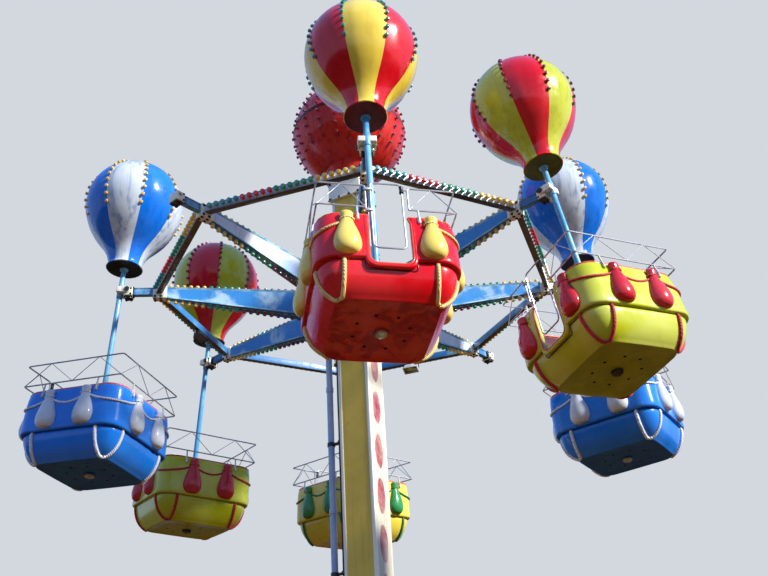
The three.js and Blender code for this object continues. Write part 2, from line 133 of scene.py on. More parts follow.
# Each gondola's finishes, by its arm, and how far its gores are turned from the arm's direction
# mouth colours the envelope's mouth and also the painted shadow line under the doorway's lip
GONDOLAS = {
    2: dict(body="crimson", slot="gondola_red", trim="rim_red", bags="bag_yellow", inside="inside_grey",
            gores=("gore_yellow", "gore_red"), phase=-21.0, lamp="lamp_teal", mouth="mouth_maroon"),
    3: dict(body="lime", slot="gondola_lime", trim="rim_orange", bags="bag_red", inside="inside_maroon",
            gores=("gore_lime", "gore_red"), phase=59.8, lamp="lamp_maroon", mouth="mouth_olive"),
    4: dict(body="blue", slot="gondola_blue", trim="rim_pink", bags="bag_white", inside="inside_grey",
            gores=("gore_white", "gore_blue"), phase=57.3, lamp="lamp_yellow", mouth="mouth_navy"),
    6: dict(body="yellow", slot="gondola_yellow", trim="rim_orange", bags="bag_green", inside="inside_grey",
            gores=("gore_yellow", "gore_green"), phase=0.0, lamp="lamp_red", mouth="mouth_olive"),
    7: dict(body="lime", slot="gondola_lime", trim="rim_orange", bags="bag_red", inside="inside_maroon",
            gores=("gore_red", "gore_lime"), phase=10.0, lamp="lamp_maroon", mouth="mouth_green"),
    0: dict(body="blue", slot="gondola_blue", trim="rim_pink", bags="bag_white", inside="inside_grey",
            gores=("gore_white", "gore_blue"), phase=-24.0, lamp="lamp_yellow", mouth="mouth_black"),
}

# The stage: the camera, the directions that light comes from, and the colours around the ride
CAMERA_AT = (-0.6228, -10.2539, 1.5766)
CAMERA_RIGHT = (0.99660354, -0.06193591, -0.05427079)
CAMERA_UP = (0.01531439, -0.50814172, 0.86113731)
CAMERA_LENS = 45.34
SUN_FROM = (0.72, -0.467, 0.515)
FILL_FROM = (-0.45, 0.7, 0.45)
FLOOR_SIZE = 300
BACKDROP = "d3d8df"
SURROUNDINGS = ((0.0, "80603f"), (0.3, "6b5238"), (0.42, "343a2a"), (0.49, "2c3326"), (0.52, "b8d0f4"),
                (0.7, "86aae6"), (1.0, "6f97dc"))

# Lamps from the ring towards the hub on an arm, and along a tie, in groups of one colour
ARM_LAMPS = [("lamp_yellow", 6), ("lamp_green", 5), ("lamp_maroon", 5), ("lamp_navy", 5)]
TIE_LAMPS = [("lamp_teal", 5), ("lamp_red", 5), ("lamp_green", 6), ("lamp_yellow", 6)]


def linear(colour):
    """A screen colour, as six hex digits, in the shader's linear values; anything else as it is."""
    if not isinstance(colour, str):
        return colour
    parts = [int(colour[i:i + 2], 16) / 255 for i in (0, 2, 4)]
    return (*(c / 12.92 if c <= 0.04045 else ((c + 0.055) / 1.055) ** 2.4 for c in parts), 1.0)


def colour_setting(name, screen, text):
    return bpy.props.FloatVectorProperty(
        name=name, description=text, default=linear(screen), subtype="COLOR", size=4, min=0, max=1,
    )


class RideColours(bpy.types.PropertyGroup):
    """Main colours of the ride"""

    crimson: colour_setting("Crimson", "ee0418", "Body of the red basket")
    lime: colour_setting("Lime", "ccd41a", "Body of the lime baskets")
    blue: colour_setting("Blue", "0080f0", "Body of the blue baskets")
    yellow: colour_setting("Yellow", "e8d444", "Body of the yellow basket")
    sky: colour_setting("Sky blue", "3892dc", "Arms and ties")
    cream: colour_setting("Cream", "e4d7a8", "Mast edges, head box and bearing blocks")
    mast: colour_setting("Mast yellow", "f4d04a", "Yellow faces of the mast")
    crown: colour_setting("Crown red", "d81c08", "Ball on top of the mast")
    pole: colour_setting("Pole blue", "4f9fd2", "Gondola poles")


def length_setting(name, length, text, least=0.003):
    return bpy.props.FloatProperty(name=name, description=text, default=length, unit="LENGTH", min=least)


class RideSizes(bpy.types.PropertyGroup):
    """Sizes of the repeated details"""

    lamp_pitch: length_setting("Lamp pitch", 0.082, "From one lamp to the next", 0.05)
    lamp_scale: bpy.props.FloatProperty(
        name="Lamp scale", description="Size of a lamp, 1 is 42 mm across", default=1.2, min=0.5, max=2,
    )
    rope_radius: length_setting("Rope radius", 0.0125, "Radius of the swags")
    strap_radius: length_setting("Loop radius", 0.0185, "Radius of the loops")
    wire_radius: length_setting("Wire radius", 0.008, "Radius of the rail wire")


class Nodes:
    """A node tree under construction, with short names for its common nodes."""

    def __init__(self, tree):
        self.tree = tree

    def node(self, kind, fed=(), **values):
        """A new node with these values, its inputs fed by name or number."""
        made = self.tree.nodes.new(f"ShaderNode{kind}")
        for name, value in values.items():
            setattr(made, name, value)
        for socket, value in dict(fed).items():
            self.feed(made.inputs[socket], value)
        return made

    def feed(self, socket, value):
        if isinstance(value, bpy.types.NodeSocket):
            self.tree.links.new(value, socket)
        else:
            socket.default_value = linear(value)

    def split(self, vector):
        return self.node("SeparateXYZ", {0: vector}).outputs


class Shade(Nodes):
    """A material under construction: one Principled shader, and what its patterns are made of."""

    def __init__(self, name):
        self.material = bpy.data.materials.new(name)
        self.material.use_nodes = True
        super().__init__(self.material.node_tree)
        self.shader = self.tree.nodes["Principled BSDF"]
        self.place = self.node("TexCoord").outputs["Object"]

    def dial(self, **values):
        """Feeds the shader's sockets, with _ for each space in a socket's name."""
        for name, value in values.items():
            self.feed(self.shader.inputs[name.replace("_", " ")], value)

    def mapped(self, scale=(1, 1, 1), turn=(0, 0, 0)):
        return self.node("Mapping", {"Vector": self.place, "Rotation": turn, "Scale": scale}).outputs[0]

    def noise(self, scale, detail=4.0, rough=0.55, where=None, twist=0.0):
        fed = {"Vector": where or self.place, "Scale": scale, "Detail": detail, "Roughness": rough}
        return self.node("TexNoise", {**fed, "Distortion": twist}).outputs["Fac"]

    def spread(self, value, low, high, out_low=0.0, out_high=1.0):
        fed = {"Value": value, "From Min": low, "From Max": high, "To Min": out_low, "To Max": out_high}
        return self.node("MapRange", fed, interpolation_type="SMOOTHSTEP").outputs["Result"]

    def maths(self, kind, first, second=0.0):
        return self.node("Math", {0: first, 1: second}, operation=kind).outputs[0]

    def times(self, first, second):
        return self.maths("MULTIPLY", first, second)

    def blend(self, share, first, second):
        return self.node("Mix", {0: share, 6: first, 7: second}, data_type="RGBA").outputs[2]

    def finish(self, colour, rough, height, strength=0.2, depth=0.002):
        bump = self.node("Bump", {"Strength": strength, "Distance": depth, "Height": height})
        self.dial(Base_Color=colour, Roughness=rough, Normal=bump.outputs["Normal"])


def darker(colour, share):
    return (*(c * share for c in linear(colour)[:3]), 1.0)


def mixed(first, second, share):
    return (*(a + (b - a) * share for a, b in zip(linear(first)[:3], linear(second)[:3])), 1.0)


WHITE = (0.9, 0.9, 0.88, 1.0)
GRIME = "3a2f25"
OLD_PAINT = "6b3d22"


def gelcoat(name, colour, dirt_and_shade=0.5, streaks=0.0, streak_colour=None, gloss=0.2, dapple=0.06, blotch=None,
            coat=0.5):
    """Moulded, glossy glass-fibre: cloudy colour, fine scuffs, run-down grime, and an underside painted
    darker in blotches as shade.
    """
    s = Shade(name)
    cloud = s.noise(1.7, 3, 0.5)
    base = s.blend(s.spread(cloud, 0.35, 0.68), darker(colour, 0.86), mixed(colour, WHITE, dapple))
    if streaks:
        runs = s.noise(1.0, 2, 0.5, s.mapped(scale=(17, 17, 0.5)), 0.2)
        base = s.blend(s.spread(runs, 0.47, 0.72, 0, streaks), base, streak_colour or darker(colour, 0.45))
    runs = s.noise(1.0, 4, 0.6, s.mapped(scale=(24, 24, 1.6)), 0.3)
    spots = s.noise(36, 3, 0.6)
    dirty = s.times(s.spread(runs, 0.52, 0.8), s.spread(spots, 0.3, 0.7, 0.25, 1.0))
    base = s.blend(s.times(dirty, dirt_and_shade * 0.4), base, GRIME)
    # Painted shade: faces that point down take a much darker copy of the colour, blotched with a second
    # colour.
    normal = s.split(s.node("NewGeometry").outputs["Normal"])
    under = s.spread(normal["Z"], -0.75, -0.98)
    underside_blotches = s.spread(s.noise(4.2, 5, 0.6, None, 1.0), 0.44, 0.56)
    floor = s.blend(underside_blotches, darker(colour, 0.38), blotch or darker(colour, 0.9))
    base = s.blend(s.times(under, 0.4 + 0.6 * dirt_and_shade), base, floor)
    scuffs = s.noise(9, 6, 0.62)
    rough = s.spread(scuffs, 0.3, 0.75, gloss * 0.7, gloss + 0.16)
    rough = s.maths("ADD", rough, s.times(under, 0.2))
    clear = s.times(s.maths("SUBTRACT", 1.08, under), coat)
    s.dial(Coat_Weight=clear, Coat_Roughness=0.04, Specular_IOR_Level=0.2)
    height = s.maths("ADD", s.noise(4.5, 2, 0.5), s.times(spots, 0.05))
    s.finish(base, rough, height, 0.35, 0.006)


def paint(name, colour, second=None, chips=0.35, gloss=0.38, cloud_scale=2.2, edge=(0.42, 0.6), shine=1.0):
    """Brushed or sprayed paint on steel: two tones in clouds, rust-brown chips and dust."""
    s = Shade(name)
    cloud = s.noise(cloud_scale, 5, 0.6, None, 0.4)
    base = s.blend(s.spread(cloud, *edge), colour, second or darker(colour, 0.78))
    dust = s.noise(1.0, 4, 0.6, s.mapped(scale=(15, 15, 2.5)))
    base = s.blend(s.spread(dust, 0.5, 0.8, 0, 0.25), base, GRIME)
    flakes = s.noise(30, 5, 0.7)
    area = s.noise(3.3, 2, 0.5)
    chipped = s.times(s.spread(flakes, 0.62, 0.66), s.spread(area, 0.5, 0.62))
    base = s.blend(s.times(chipped, chips), base, OLD_PAINT)
    rough = s.spread(s.noise(12, 5, 0.6), 0.3, 0.7, gloss - 0.08, gloss + 0.18)
    rough = s.maths("ADD", rough, s.times(chipped, 0.3))
    s.dial(Coat_Weight=0.15 * shine, Specular_IOR_Level=0.5 * shine)
    height = s.maths("SUBTRACT", s.noise(90, 2, 0.5), s.times(chipped, 3.0))
    s.finish(base, rough, height, 0.25, 0.0012)


def metal(name, colour, rough=0.3, dull=0.35, rust=0.0):
    """Bare or plated metal: drawn lines, dull patches and a little rust."""
    s = Shade(name)
    patch = s.spread(s.noise(14, 5, 0.6), 0.35, 0.7)
    base = s.blend(patch, colour, darker(colour, 0.55))
    rusty = s.times(s.spread(s.noise(23, 5, 0.7), 0.56, 0.68), rust)
    base = s.blend(rusty, base, "7a4526")
    s.dial(Metallic=s.maths("SUBTRACT", 0.95, s.times(rusty, 0.8)))
    s.finish(base, s.spread(patch, 0, 1, rough, rough + dull), s.noise(160, 2, 0.5), 0.2, 0.0006)


def lamp_finish(name, colour):
    """Coloured lamp cap: clear moulded plastic that glows a little, dusty on some lamps."""
    s = Shade(name)
    from_lamp = s.noise(11, 1, 0.4)
    base = s.blend(s.spread(from_lamp, 0.35, 0.65), darker(colour, 0.75), mixed(colour, WHITE, 0.1))
    base = s.blend(s.spread(s.noise(70, 3, 0.6), 0.58, 0.78, 0, 0.2), base, GRIME)
    s.dial(Coat_Weight=0.7, Subsurface_Weight=0.15, Subsurface_Scale=0.01)
    s.dial(Emission_Color=colour, Emission_Strength=0.06)
    s.finish(base, s.spread(from_lamp, 0, 1, 0.1, 0.3), s.noise(120, 2), 0.15, 0.0006)


def rope_finish(name, colour):
    """Laid rope: slanting strands in relief, with painted shade in the grooves between them."""
    s = Shade(name)
    fed = {"Vector": s.place, "Scale": 26, "Distortion": 1.2}
    strand = s.node("TexWave", fed, wave_type="BANDS", bands_direction="DIAGONAL").outputs["Fac"]
    fibre = s.noise(240, 3, 0.6)
    # Painted shade: the grooves between the strands take a darker copy of the colour.
    base = s.blend(s.spread(strand, 0.0, 0.5), darker(colour, 0.66), colour)
    base = s.blend(s.spread(fibre, 0.45, 0.8, 0, 0.3), base, darker(colour, 0.7))
    s.dial(Sheen_Weight=0.2)
    height = s.maths("ADD", strand, s.times(fibre, 0.25))
    s.finish(base, s.spread(fibre, 0.2, 0.8, 0.45, 0.75), height, 0.6, 0.004)


def mast_finish(name, yellow, white, red):
    """Yellow paint on two faces of the mast, and faded red ovals on cream white on the other two."""
    s = Shade(name)
    oval_half, oval_step, oval_share, face_from = 0.098, 0.52, 0.4, 0.1895
    place = s.split(s.mapped(turn=(0, 0, -TOWER_TURN)))
    across = s.maths("DIVIDE", place["Y"], oval_half)
    along = s.maths("SUBTRACT", s.maths("FRACT", s.maths("DIVIDE", place["Z"], oval_step)), 0.5)
    along = s.maths("DIVIDE", along, oval_share)
    reach = s.maths("ADD", s.times(across, across), s.times(along, along))
    wobble = s.times(s.maths("SUBTRACT", s.noise(7, 4, 0.6), 0.5), 0.9)
    oval = s.spread(s.maths("ADD", reach, wobble), 1.02, 0.86)
    fade = s.spread(s.noise(3.4, 5, 0.7), 0.3, 0.7, 0.45, 1.0)
    pattern = s.blend(s.times(oval, fade), white, red)
    plain = s.blend(s.spread(s.noise(1.6, 4, 0.6), 0.35, 0.7), yellow, darker(yellow, 0.84))
    on_x = s.maths("GREATER_THAN", s.maths("ABSOLUTE", place["X"]), face_from)
    base = s.blend(on_x, plain, pattern)
    runs = s.noise(1.0, 5, 0.62, s.mapped(scale=(18, 18, 0.7)), 0.2)
    base = s.blend(s.spread(runs, 0.5, 0.78, 0, 0.38), base, "7c6230")
    flakes = s.spread(s.noise(38, 5, 0.7), 0.66, 0.69)
    base = s.blend(s.times(flakes, 0.7), base, "5f3a1e")
    rough = s.spread(s.noise(10, 5, 0.6), 0.3, 0.7, 0.32, 0.58)
    height = s.maths("SUBTRACT", s.noise(3, 2), s.times(flakes, 0.5))
    s.finish(base, rough, height, 0.25, 0.004)


def make_finishes(colours):
    """Every material of the ride, kept by its name."""
    pick = {key: tuple(getattr(colours, key)) for key in RideColours.__annotations__}
    gelcoat("crimson", pick["crimson"], 0.5, dapple=0.03, blotch="e0492e")
    gelcoat("lime", pick["lime"], 0.5, dapple=0.12, blotch="9a9a1c")
    gelcoat("blue", pick["blue"], 0.5, dapple=0.03, blotch="0a3c9c")
    gelcoat("yellow", pick["yellow"], 0.5)
    gelcoat("gore_red", "e2061a", 0.3, 0.2, dapple=0.03)
    gelcoat("gore_yellow", "fbdc4a", 0.3, 0.2, "c29f3c")
    gelcoat("gore_lime", "d0d62c", 0.3, 0.25, "8a9420")
    gelcoat("gore_green", "2f9a52", 0.35, 0.25)
    gelcoat("gore_blue", "0078ea", 0.3, 0.3, "0a44a8", dapple=0.03)
    gelcoat("gore_white", "d6e0ea", 0.12, 0.7, "6f93bd")
    # Dark colours for the envelopes' mouths; they also colour the painted shadow line under each doorway's
    # lip, and the black one is the painted shade in the floor's holes.
    for name, screen in (("maroon", "6a0c10"), ("olive", "6c6812"), ("navy", "0b1a4c"),
                         ("green", "1d3a1c"), ("black", "11141c")):
        gelcoat(f"mouth_{name}", screen, 0.35, gloss=0.34)
    gelcoat("bag_yellow", "fbe06a", 0.3, gloss=0.25)
    gelcoat("bag_red", "cf1526", 0.35, gloss=0.22, dapple=0.04)
    gelcoat("bag_white", "d9dfe7", 0.3, 0.2, "8fa3bb", gloss=0.25)
    gelcoat("bag_green", "2f9450", 0.35, gloss=0.25)
    gelcoat("rim_red", "ee4a22", 0.2)
    gelcoat("rim_orange", "d9582a", 0.3)
    gelcoat("rim_pink", "df5a62", 0.3)
    gelcoat("inside_grey", "8e8b84", 0.7, gloss=0.5)
    gelcoat("inside_maroon", "5a1a1a", 0.7, gloss=0.45)
    gelcoat("crown_shell", pick["crown"], 0.4, 0.65, "8c0f08", 0.3, dapple=0.03, coat=0.25)
    gelcoat("crown_band", "5a0c0a", 0.3, gloss=0.5, coat=0.05)
    for name, screen in (("teal", "06969a"), ("red", "dc1420"), ("green", "12a070"), ("yellow", "f2c63c"),
                         ("maroon", "7c1428"), ("navy", "1c2e86"), ("knob", "8c1828")):
        lamp_finish(f"lamp_{name}", screen)
    lamp_finish("lamp_foot", "d8d6cc")
    for name, screen in (("yellow", "f8dc88"), ("red", "cc1c28"), ("white", "eef1f4"), ("green", "2b8449")):
        rope_finish(f"rope_{name}", screen)
    paint("arm_web", pick["sky"], "b9d9ea", 0.3, gloss=0.4, cloud_scale=2.6, edge=(0.5, 0.66))
    # A paler copy of the arm paint for the arms without gondolas: painted highlight, standing for sunlight
    # reflected from their webs.
    paint("arm_web_pale", mixed(pick["sky"], WHITE, 0.35), "f0f6f6", 0.3, gloss=0.45, cloud_scale=2.0,
          edge=(0.34, 0.48))
    paint("arm_flange", "a9cfdd", "5f9fc6", 0.6, gloss=0.42, cloud_scale=5)
    paint("tie_back", "2f78b4", "8cbcd8", 0.5, gloss=0.36, cloud_scale=3, edge=(0.5, 0.7))
    # Dark paint for the ties' undersides: painted shade.
    paint("tie_under", "352c22", "66542e", 0.6, gloss=0.3)
    paint("tie_front", "e6ecec", "b5c8cf", 0.5, gloss=0.25)
    paint("cream", pick["cream"], mixed(pick["cream"], GRIME, 0.25), 0.7, gloss=0.4)
    paint("pole_paint", pick["pole"], "7fc0de", 0.35, gloss=0.25, cloud_scale=1.6)
    paint("pipe_paint", "96b4e4", "b4cbea", 0.4, gloss=0.36)
    paint("deck_grey", "5d6670", "454c54", 0.7, gloss=0.45)
    paint("base_paint", "6c747b", "4f565c", 0.9, gloss=0.5, cloud_scale=4)
    paint("housing_black", "1c1e22", "2b2d31", 0.3, gloss=0.4)
    paint("housing_white", "dcdcd6", "bdbcb2", 0.5, gloss=0.4)
    paint("hose_rubber", "17130f", "3a2a1c", 0.0, gloss=0.55)
    mast_finish("mast_paint", pick["mast"], "ded6bd", "a01a3c")
    metal("bright_wire", (0.72, 0.74, 0.78, 1), 0.42, 0.3, 0.25)
    metal("bright_steel", (0.7, 0.72, 0.74, 1), 0.25, 0.3, 0.3)
    metal("dark_steel", (0.09, 0.085, 0.08, 1), 0.4, 0.3, 0.5)
    glass = Shade("lamp_glass")
    ribs = glass.noise(60, 2, 0.5)
    glass.dial(Coat_Weight=1.0)
    glass.finish(glass.blend(ribs, (0.02, 0.022, 0.025, 1), (0.06, 0.06, 0.065, 1)), 0.12, ribs, 0.2, 0.002)
    paint("floor_plain", "aca595", "a69f90", 0.0, gloss=0.8, cloud_scale=0.7, shine=0)


def finish_named(name):
    return bpy.data.materials[name]


def clear_selection():
    if bpy.context.mode != "OBJECT":
        bpy.ops.object.mode_set(mode="OBJECT")
    bpy.ops.object.select_all(action="DESELECT")


def activate(*objects):
    clear_selection()
    for piece in objects:
        piece.select_set(True)
    bpy.context.view_layer.objects.active = objects[0]


def edit_mode(piece):
    activate(piece)
    bpy.ops.object.mode_set(mode="EDIT")


def select_where(kind, test):
    """Selects the faces, edges or vertices of the piece in edit mode that pass the test."""
    bpy.ops.mesh.select_mode(type={"faces": "FACE", "edges": "EDGE", "verts": "VERT"}[kind])
    bpy.ops.mesh.select_all(action="DESELECT")
    shape = bmesh.from_edit_mesh(bpy.context.object.data)
    for element in getattr(shape, kind):
        if test(element):
            element.select_set(True)
    shape.select_flush_mode()
    bmesh.update_edit_mesh(bpy.context.object.data)


def edge_runs(axis, test):
    """Says whether an edge lies along an axis, 0 to 2, and its middle passes the test."""
    def check(edge):
        near, far = (vertex.co for vertex in edge.verts)
        return abs((far - near)[axis]) > 0.95 * (far - near).length and test((near + far) / 2)
    return check


def stretch(kind, test, value, centre=(0, 0, 0)):
    """Scales what passes the test about a point."""
    select_where(kind, test)
    bpy.ops.transform.resize(value=value, center_override=centre)


def sink(test, margin, depth):
    """Sets a panel into the faces that pass the test."""
    select_where("faces", test)
    bpy.ops.mesh.inset(thickness=margin, depth=-depth)


def bevel_edges(axis, test, offset, segments):
    """Rounds or chamfers the edges along an axis whose middle passes the test."""
    select_where("edges", edge_runs(axis, test))
    bpy.ops.mesh.bevel(offset=offset, segments=segments, affect="EDGES")


def apply_place(piece):
    activate(piece)
    bpy.ops.object.transform_apply(location=True, rotation=True, scale=True)


def add_modifier(piece, kind, **values):
    """Adds a modifier with these values and applies it."""
    activate(piece)
    bpy.ops.object.modifier_add(type=kind)
    modifier = piece.modifiers[-1]
    for key, value in values.items():
        setattr(modifier, key, value)
    bpy.ops.object.modifier_apply(modifier=modifier.name)


def close_up(piece, angle=35, merge=2e-5):
    """Merges doubles, turns the faces outwards, leaves edit mode, and smooths the soft edges."""
    edit_mode(piece)
    bpy.ops.mesh.select_all(action="SELECT")
    bpy.ops.mesh.remove_doubles(threshold=merge)
    bpy.ops.mesh.normals_make_consistent(inside=False)
    bpy.ops.object.mode_set(mode="OBJECT")
    apply_place(piece)
    bpy.ops.object.shade_smooth_by_angle(angle=math.radians(angle))
    return piece


def extrude_rings(rings, centre=(0, 0)):
    """Extrudes what is selected from ring to ring, each a size across and a height."""
    for (near, low), (far, high) in zip(rings, rings[1:]):
        bpy.ops.mesh.extrude_region_move(TRANSFORM_OT_translate={"value": (0, 0, high - low)})
        if abs(far - near) > 1e-7:
            share = far / near
            bpy.ops.transform.resize(value=(share, share, 1), center_override=(*centre, high))


def turned(name, rings, sides=24, tip=False, filled=True, centre=(0, 0), angle=35, base=0.0):
    """A round body drawn out from a circle, ring by ring: each a radius and a height above the base."""
    clear_selection()
    rings = [(radius, base + height) for radius, height in rings]
    radius, low = rings[0]
    bpy.ops.mesh.primitive_circle_add(
        vertices=sides, radius=radius, fill_type="NGON" if filled else "NOTHING", location=(*centre, low),
    )
    piece = bpy.context.object
    piece.name = name
    bpy.ops.object.mode_set(mode="EDIT")
    extrude_rings(rings, centre)
    if tip:
        bpy.ops.mesh.merge(type="CENTER")
    return close_up(piece, angle)


def drawn_square(name, rings, corner, filled=True, bow=0.0, angle=35):
    """The same from a square with round corners, whose sides may bow outwards a little."""
    clear_selection()
    half, low = rings[0]
    bpy.ops.mesh.primitive_plane_add(size=2 * half, location=(0, 0, low))
    piece = bpy.context.object
    piece.name = name
    bpy.ops.object.mode_set(mode="EDIT")
    bpy.ops.mesh.bevel(offset=corner, segments=8, affect="VERTICES")
    if bow:
        select_where("edges", lambda edge: edge.calc_length() > half * 0.8)
        bpy.ops.mesh.subdivide(number_cuts=5)
        bpy.ops.mesh.select_all(action="SELECT")
        bpy.ops.transform.tosphere(value=bow)
    bpy.ops.mesh.select_all(action="SELECT")
    if not filled:
        bpy.ops.mesh.delete(type="ONLY_FACE")
        bpy.ops.mesh.select_all(action="SELECT")
    extrude_rings(rings)
    return close_up(piece, angle)


def slab(name, low, high, bevel=0.004, segments=2, shape=None, angle=40):
    """A block between two corners, shaped in edit mode by the given steps, with its edges rounded."""
    clear_selection()
    size = [b - a for a, b in zip(low, high)]
    middle = [(a + b) / 2 for a, b in zip(low, high)]
    bpy.ops.mesh.primitive_cube_add(size=1, location=middle, scale=size)
    piece = bpy.context.object
    piece.name = name
    apply_place(piece)
    edit_mode(piece)
    if shape:
        shape()
    if bevel:
        bpy.ops.mesh.select_mode(type="EDGE")
        bpy.ops.mesh.select_all(action="SELECT")
        bpy.ops.mesh.bevel(offset=bevel, segments=segments, affect="EDGES", clamp_overlap=True)
    return close_up(piece, angle)


def filleted(points, radius, steps=4, closed=False):
    """The points of a line with its corners rounded."""
    points = [Vector(p) for p in points]
    count = len(points)
    made = []
    for i, corner in enumerate(points):
        if not closed and i in (0, count - 1):
            made.append(corner)
            continue
        back, ahead = points[i - 1] - corner, points[(i + 1) % count] - corner
        reach = min(radius, back.length * 0.45, ahead.length * 0.45)
        start, end = corner + back.normalized() * reach, corner + ahead.normalized() * reach
        for k in range(steps + 1):
            t = k / steps
            made.append(start * (1 - t) ** 2 + corner * 2 * t * (1 - t) + end * t ** 2)
    return made


def tube(name, points, radius, closed=False, sides=2):
    """A round bar or rope along a line of points."""
    line = bpy.data.curves.new(name, "CURVE")
    line.dimensions = "3D"
    line.bevel_depth = radius
    line.bevel_resolution = sides
    line.use_fill_caps = True
    spline = line.splines.new("POLY")
    spline.points.add(len(points) - 1)
    for place, point in zip(spline.points, points):
        place.co = (*point, 1)
    spline.use_cyclic_u = closed
    piece = bpy.data.objects.new(name, line)
    bpy.context.scene.collection.objects.link(piece)
    activate(piece)
    bpy.ops.object.convert(target="MESH")
    return close_up(bpy.context.object, 50, 1e-6)


def join(name, pieces):
    """Several meshes as one, with their materials kept."""
    activate(*pieces)
    if len(pieces) > 1:
        bpy.ops.object.join()
    made = bpy.context.object
    made.name = name
    return made


def cut(piece, *tools, angle=35):
    """Takes the tools' shapes out of the piece, removes the tools and smooths the soft edges again."""
    for tool in tools:
        add_modifier(piece, "BOOLEAN", operation="DIFFERENCE", solver="EXACT", object=tool)
        bpy.data.objects.remove(tool)
    activate(piece)
    bpy.ops.object.shade_smooth_by_angle(angle=math.radians(angle))
    return piece


def paint_all(piece, *names):
    piece.data.materials.clear()
    for name in names:
        piece.data.materials.append(finish_named(name))
    return piece


def paint_where(piece, index, test):
    """Gives the faces that pass the test the piece's material of that number."""
    for face in piece.data.polygons:
        if test(face):
            face.material_index = index
    return piece


def moved(piece, matrix):
    piece.data.transform(matrix)
    return piece


def quarter_turn(count):
    return Matrix.Rotation(math.pi / 2 * count, 4, "Z")


def square_slab(name, half, low, high, *shaping):
    """A slab that is square and centred in plan."""
    return slab(name, (-half, -half, low), (half, half, high), *shaping)


def copy_of(piece, name, matrix, materials=None):
    """A copy with its own mesh, moved in the mesh itself."""
    twin = bpy.data.objects.new(name, piece.data.copy())
    twin.data.transform(matrix)
    bpy.context.scene.collection.objects.link(twin)
    for i, finish in enumerate(materials or []):
        twin.data.materials[i] = finish_named(finish)
    return twin


def hang(piece, body, slot=None, *nodes):
    """Lets a finished piece ride on its body and stand for CAD nodes."""
    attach(piece, body)
    if nodes:
        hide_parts(*nodes)
    return piece


def hang_copy(template, name, place, body, slot=None, *nodes, materials=None):
    return hang(copy_of(template, name, place, materials), body, slot, *nodes)


def hang_made(make, name, place, body, *stands_for):
    """Makes a piece that the ride has once, and hangs it in its place."""
    template = make()
    hang_copy(template, name, place, body, *stands_for)
    discard(template)


def discard(*pieces):
    for piece in pieces:
        bpy.data.objects.remove(piece)


def copies_at(places, template):
    """Copies of the template at the places, without the template itself."""
    made = [copy_of(template, f"{template.name}_copy", place) for place in places]
    discard(template)
    return made


def spots_round(radius, count, shift=0.5):
    """Evenly spaced points on a circle, as x and y."""
    angles = [2 * math.pi * (k + shift) / count for k in range(count)]
    return [(radius * math.cos(angle), radius * math.sin(angle)) for angle in angles]


def aim(direction, at, scale=1.0):
    """The matrix that stands a thing made along +Z on a point, looking in a direction."""
    turn = Vector(direction).to_track_quat("Z", "Y").to_matrix().to_4x4()
    return Matrix.Translation(at) @ turn @ Matrix.Scale(scale, 4)


def scatter(name, template, places, body):
    """Copies of a small thing, joined: each place is a matrix and, where it differs, the material."""
    copies = []
    for matrix, finish in places:
        twin = copy_of(template, f"{name}_copy", matrix)
        if finish:
            twin.data.materials[0] = finish_named(finish)
        copies.append(twin)
    hang(join(name, copies), body)


def frame_of(x_axis, y_axis, z_axis, origin):
    turn = Matrix((x_axis, y_axis, z_axis)).transposed().to_4x4()
    return Matrix.Translation(origin) @ turn


def azimuth(arm):
    return math.radians(-90 + ARM_STEP * (arm - FRONT_ARM))


def arm_frame(arm, half_step=0.0):
    """X along the arm, or between it and the next, with the origin in the star's middle."""
    turn = Matrix.Rotation(azimuth(arm) + math.radians(ARM_STEP) * half_step, 4, "Z")
    return Matrix.Translation((0, 0, STAR_Z)) @ turn


def tower_frame(height=0.0):
    return Matrix.Translation((0, 0, height)) @ Matrix.Rotation(TOWER_TURN, 4, "Z")


def hanger_frame(arm):
    """X outwards, Z up the pole, with the origin on the swing pin."""
    axis = Vector(JOINTS[f"swing_{arm}"]["axis"])
    up = Vector(JOINTS[f"spin_{arm}"]["axis"]).normalized()
    across = Vector((axis.x, axis.y, 0)).normalized() * -1
    return frame_of(across.cross(up), across, up, Vector(JOINTS[f"swing_{arm}"]["pos_m"]))


def pole_frame(arm):
    return hanger_frame(arm) @ Matrix.Translation((POLE_X, 0, 0))


def basket_frame(arm):
    """X through the doorway, Z up the pole, with the origin on the pole's axis beside the pin."""
    up = Vector(JOINTS[f"spin_{arm}"]["axis"]).normalized()
    origin = Vector(JOINTS[f"spin_{arm}"]["pos_m"]) - up * FLOOR_Z
    hinge = Vector(JOINTS[f"gate_{arm}"]["pos_m"]) - origin
    out = hinge - up * hinge.dot(up)
    doorway = (out * GATE_X - up.cross(out) * GATE_HINGE).normalized()
    return frame_of(doorway, up.cross(doorway), up, origin)


def half_width(height):
    """The basket's half width at a height above the pin, from its outside profile."""
    level = height - FLOOR_Z
    for (near, low), (far, high) in zip(BASKET_OUTSIDE, BASKET_OUTSIDE[1:]):
        if low <= level <= high:
            return near + (far - near) * (level - low) / max(high - low, 1e-9)
    return BASKET_OUTSIDE[-1][0] if level > 0 else BASKET_OUTSIDE[0][0]


def round_basket(along, height, proud=0.0):
    """A point on the basket's outside: along is the distance round it from the doorway's middle."""
    face = math.floor((along + QUARTER / 2) / QUARTER)
    t = along - face * QUARTER
    x, y, normal = BASKET_WIDEST, t, Vector((1, 0))
    if abs(t) > FLAT_HALF:
        angle = (abs(t) - FLAT_HALF) / BASKET_CORNER * math.copysign(1, t)
        normal = Vector((math.cos(angle), math.sin(angle)))
        x = FLAT_HALF + BASKET_CORNER * normal.x
        y = math.copysign(FLAT_HALF, t) + BASKET_CORNER * normal.y
    flat = Vector((x, y)) * (half_width(height) / BASKET_WIDEST) + normal * proud
    flat = Matrix.Rotation(math.pi / 2 * face, 2) @ flat
    return Vector((flat.x, flat.y, height))


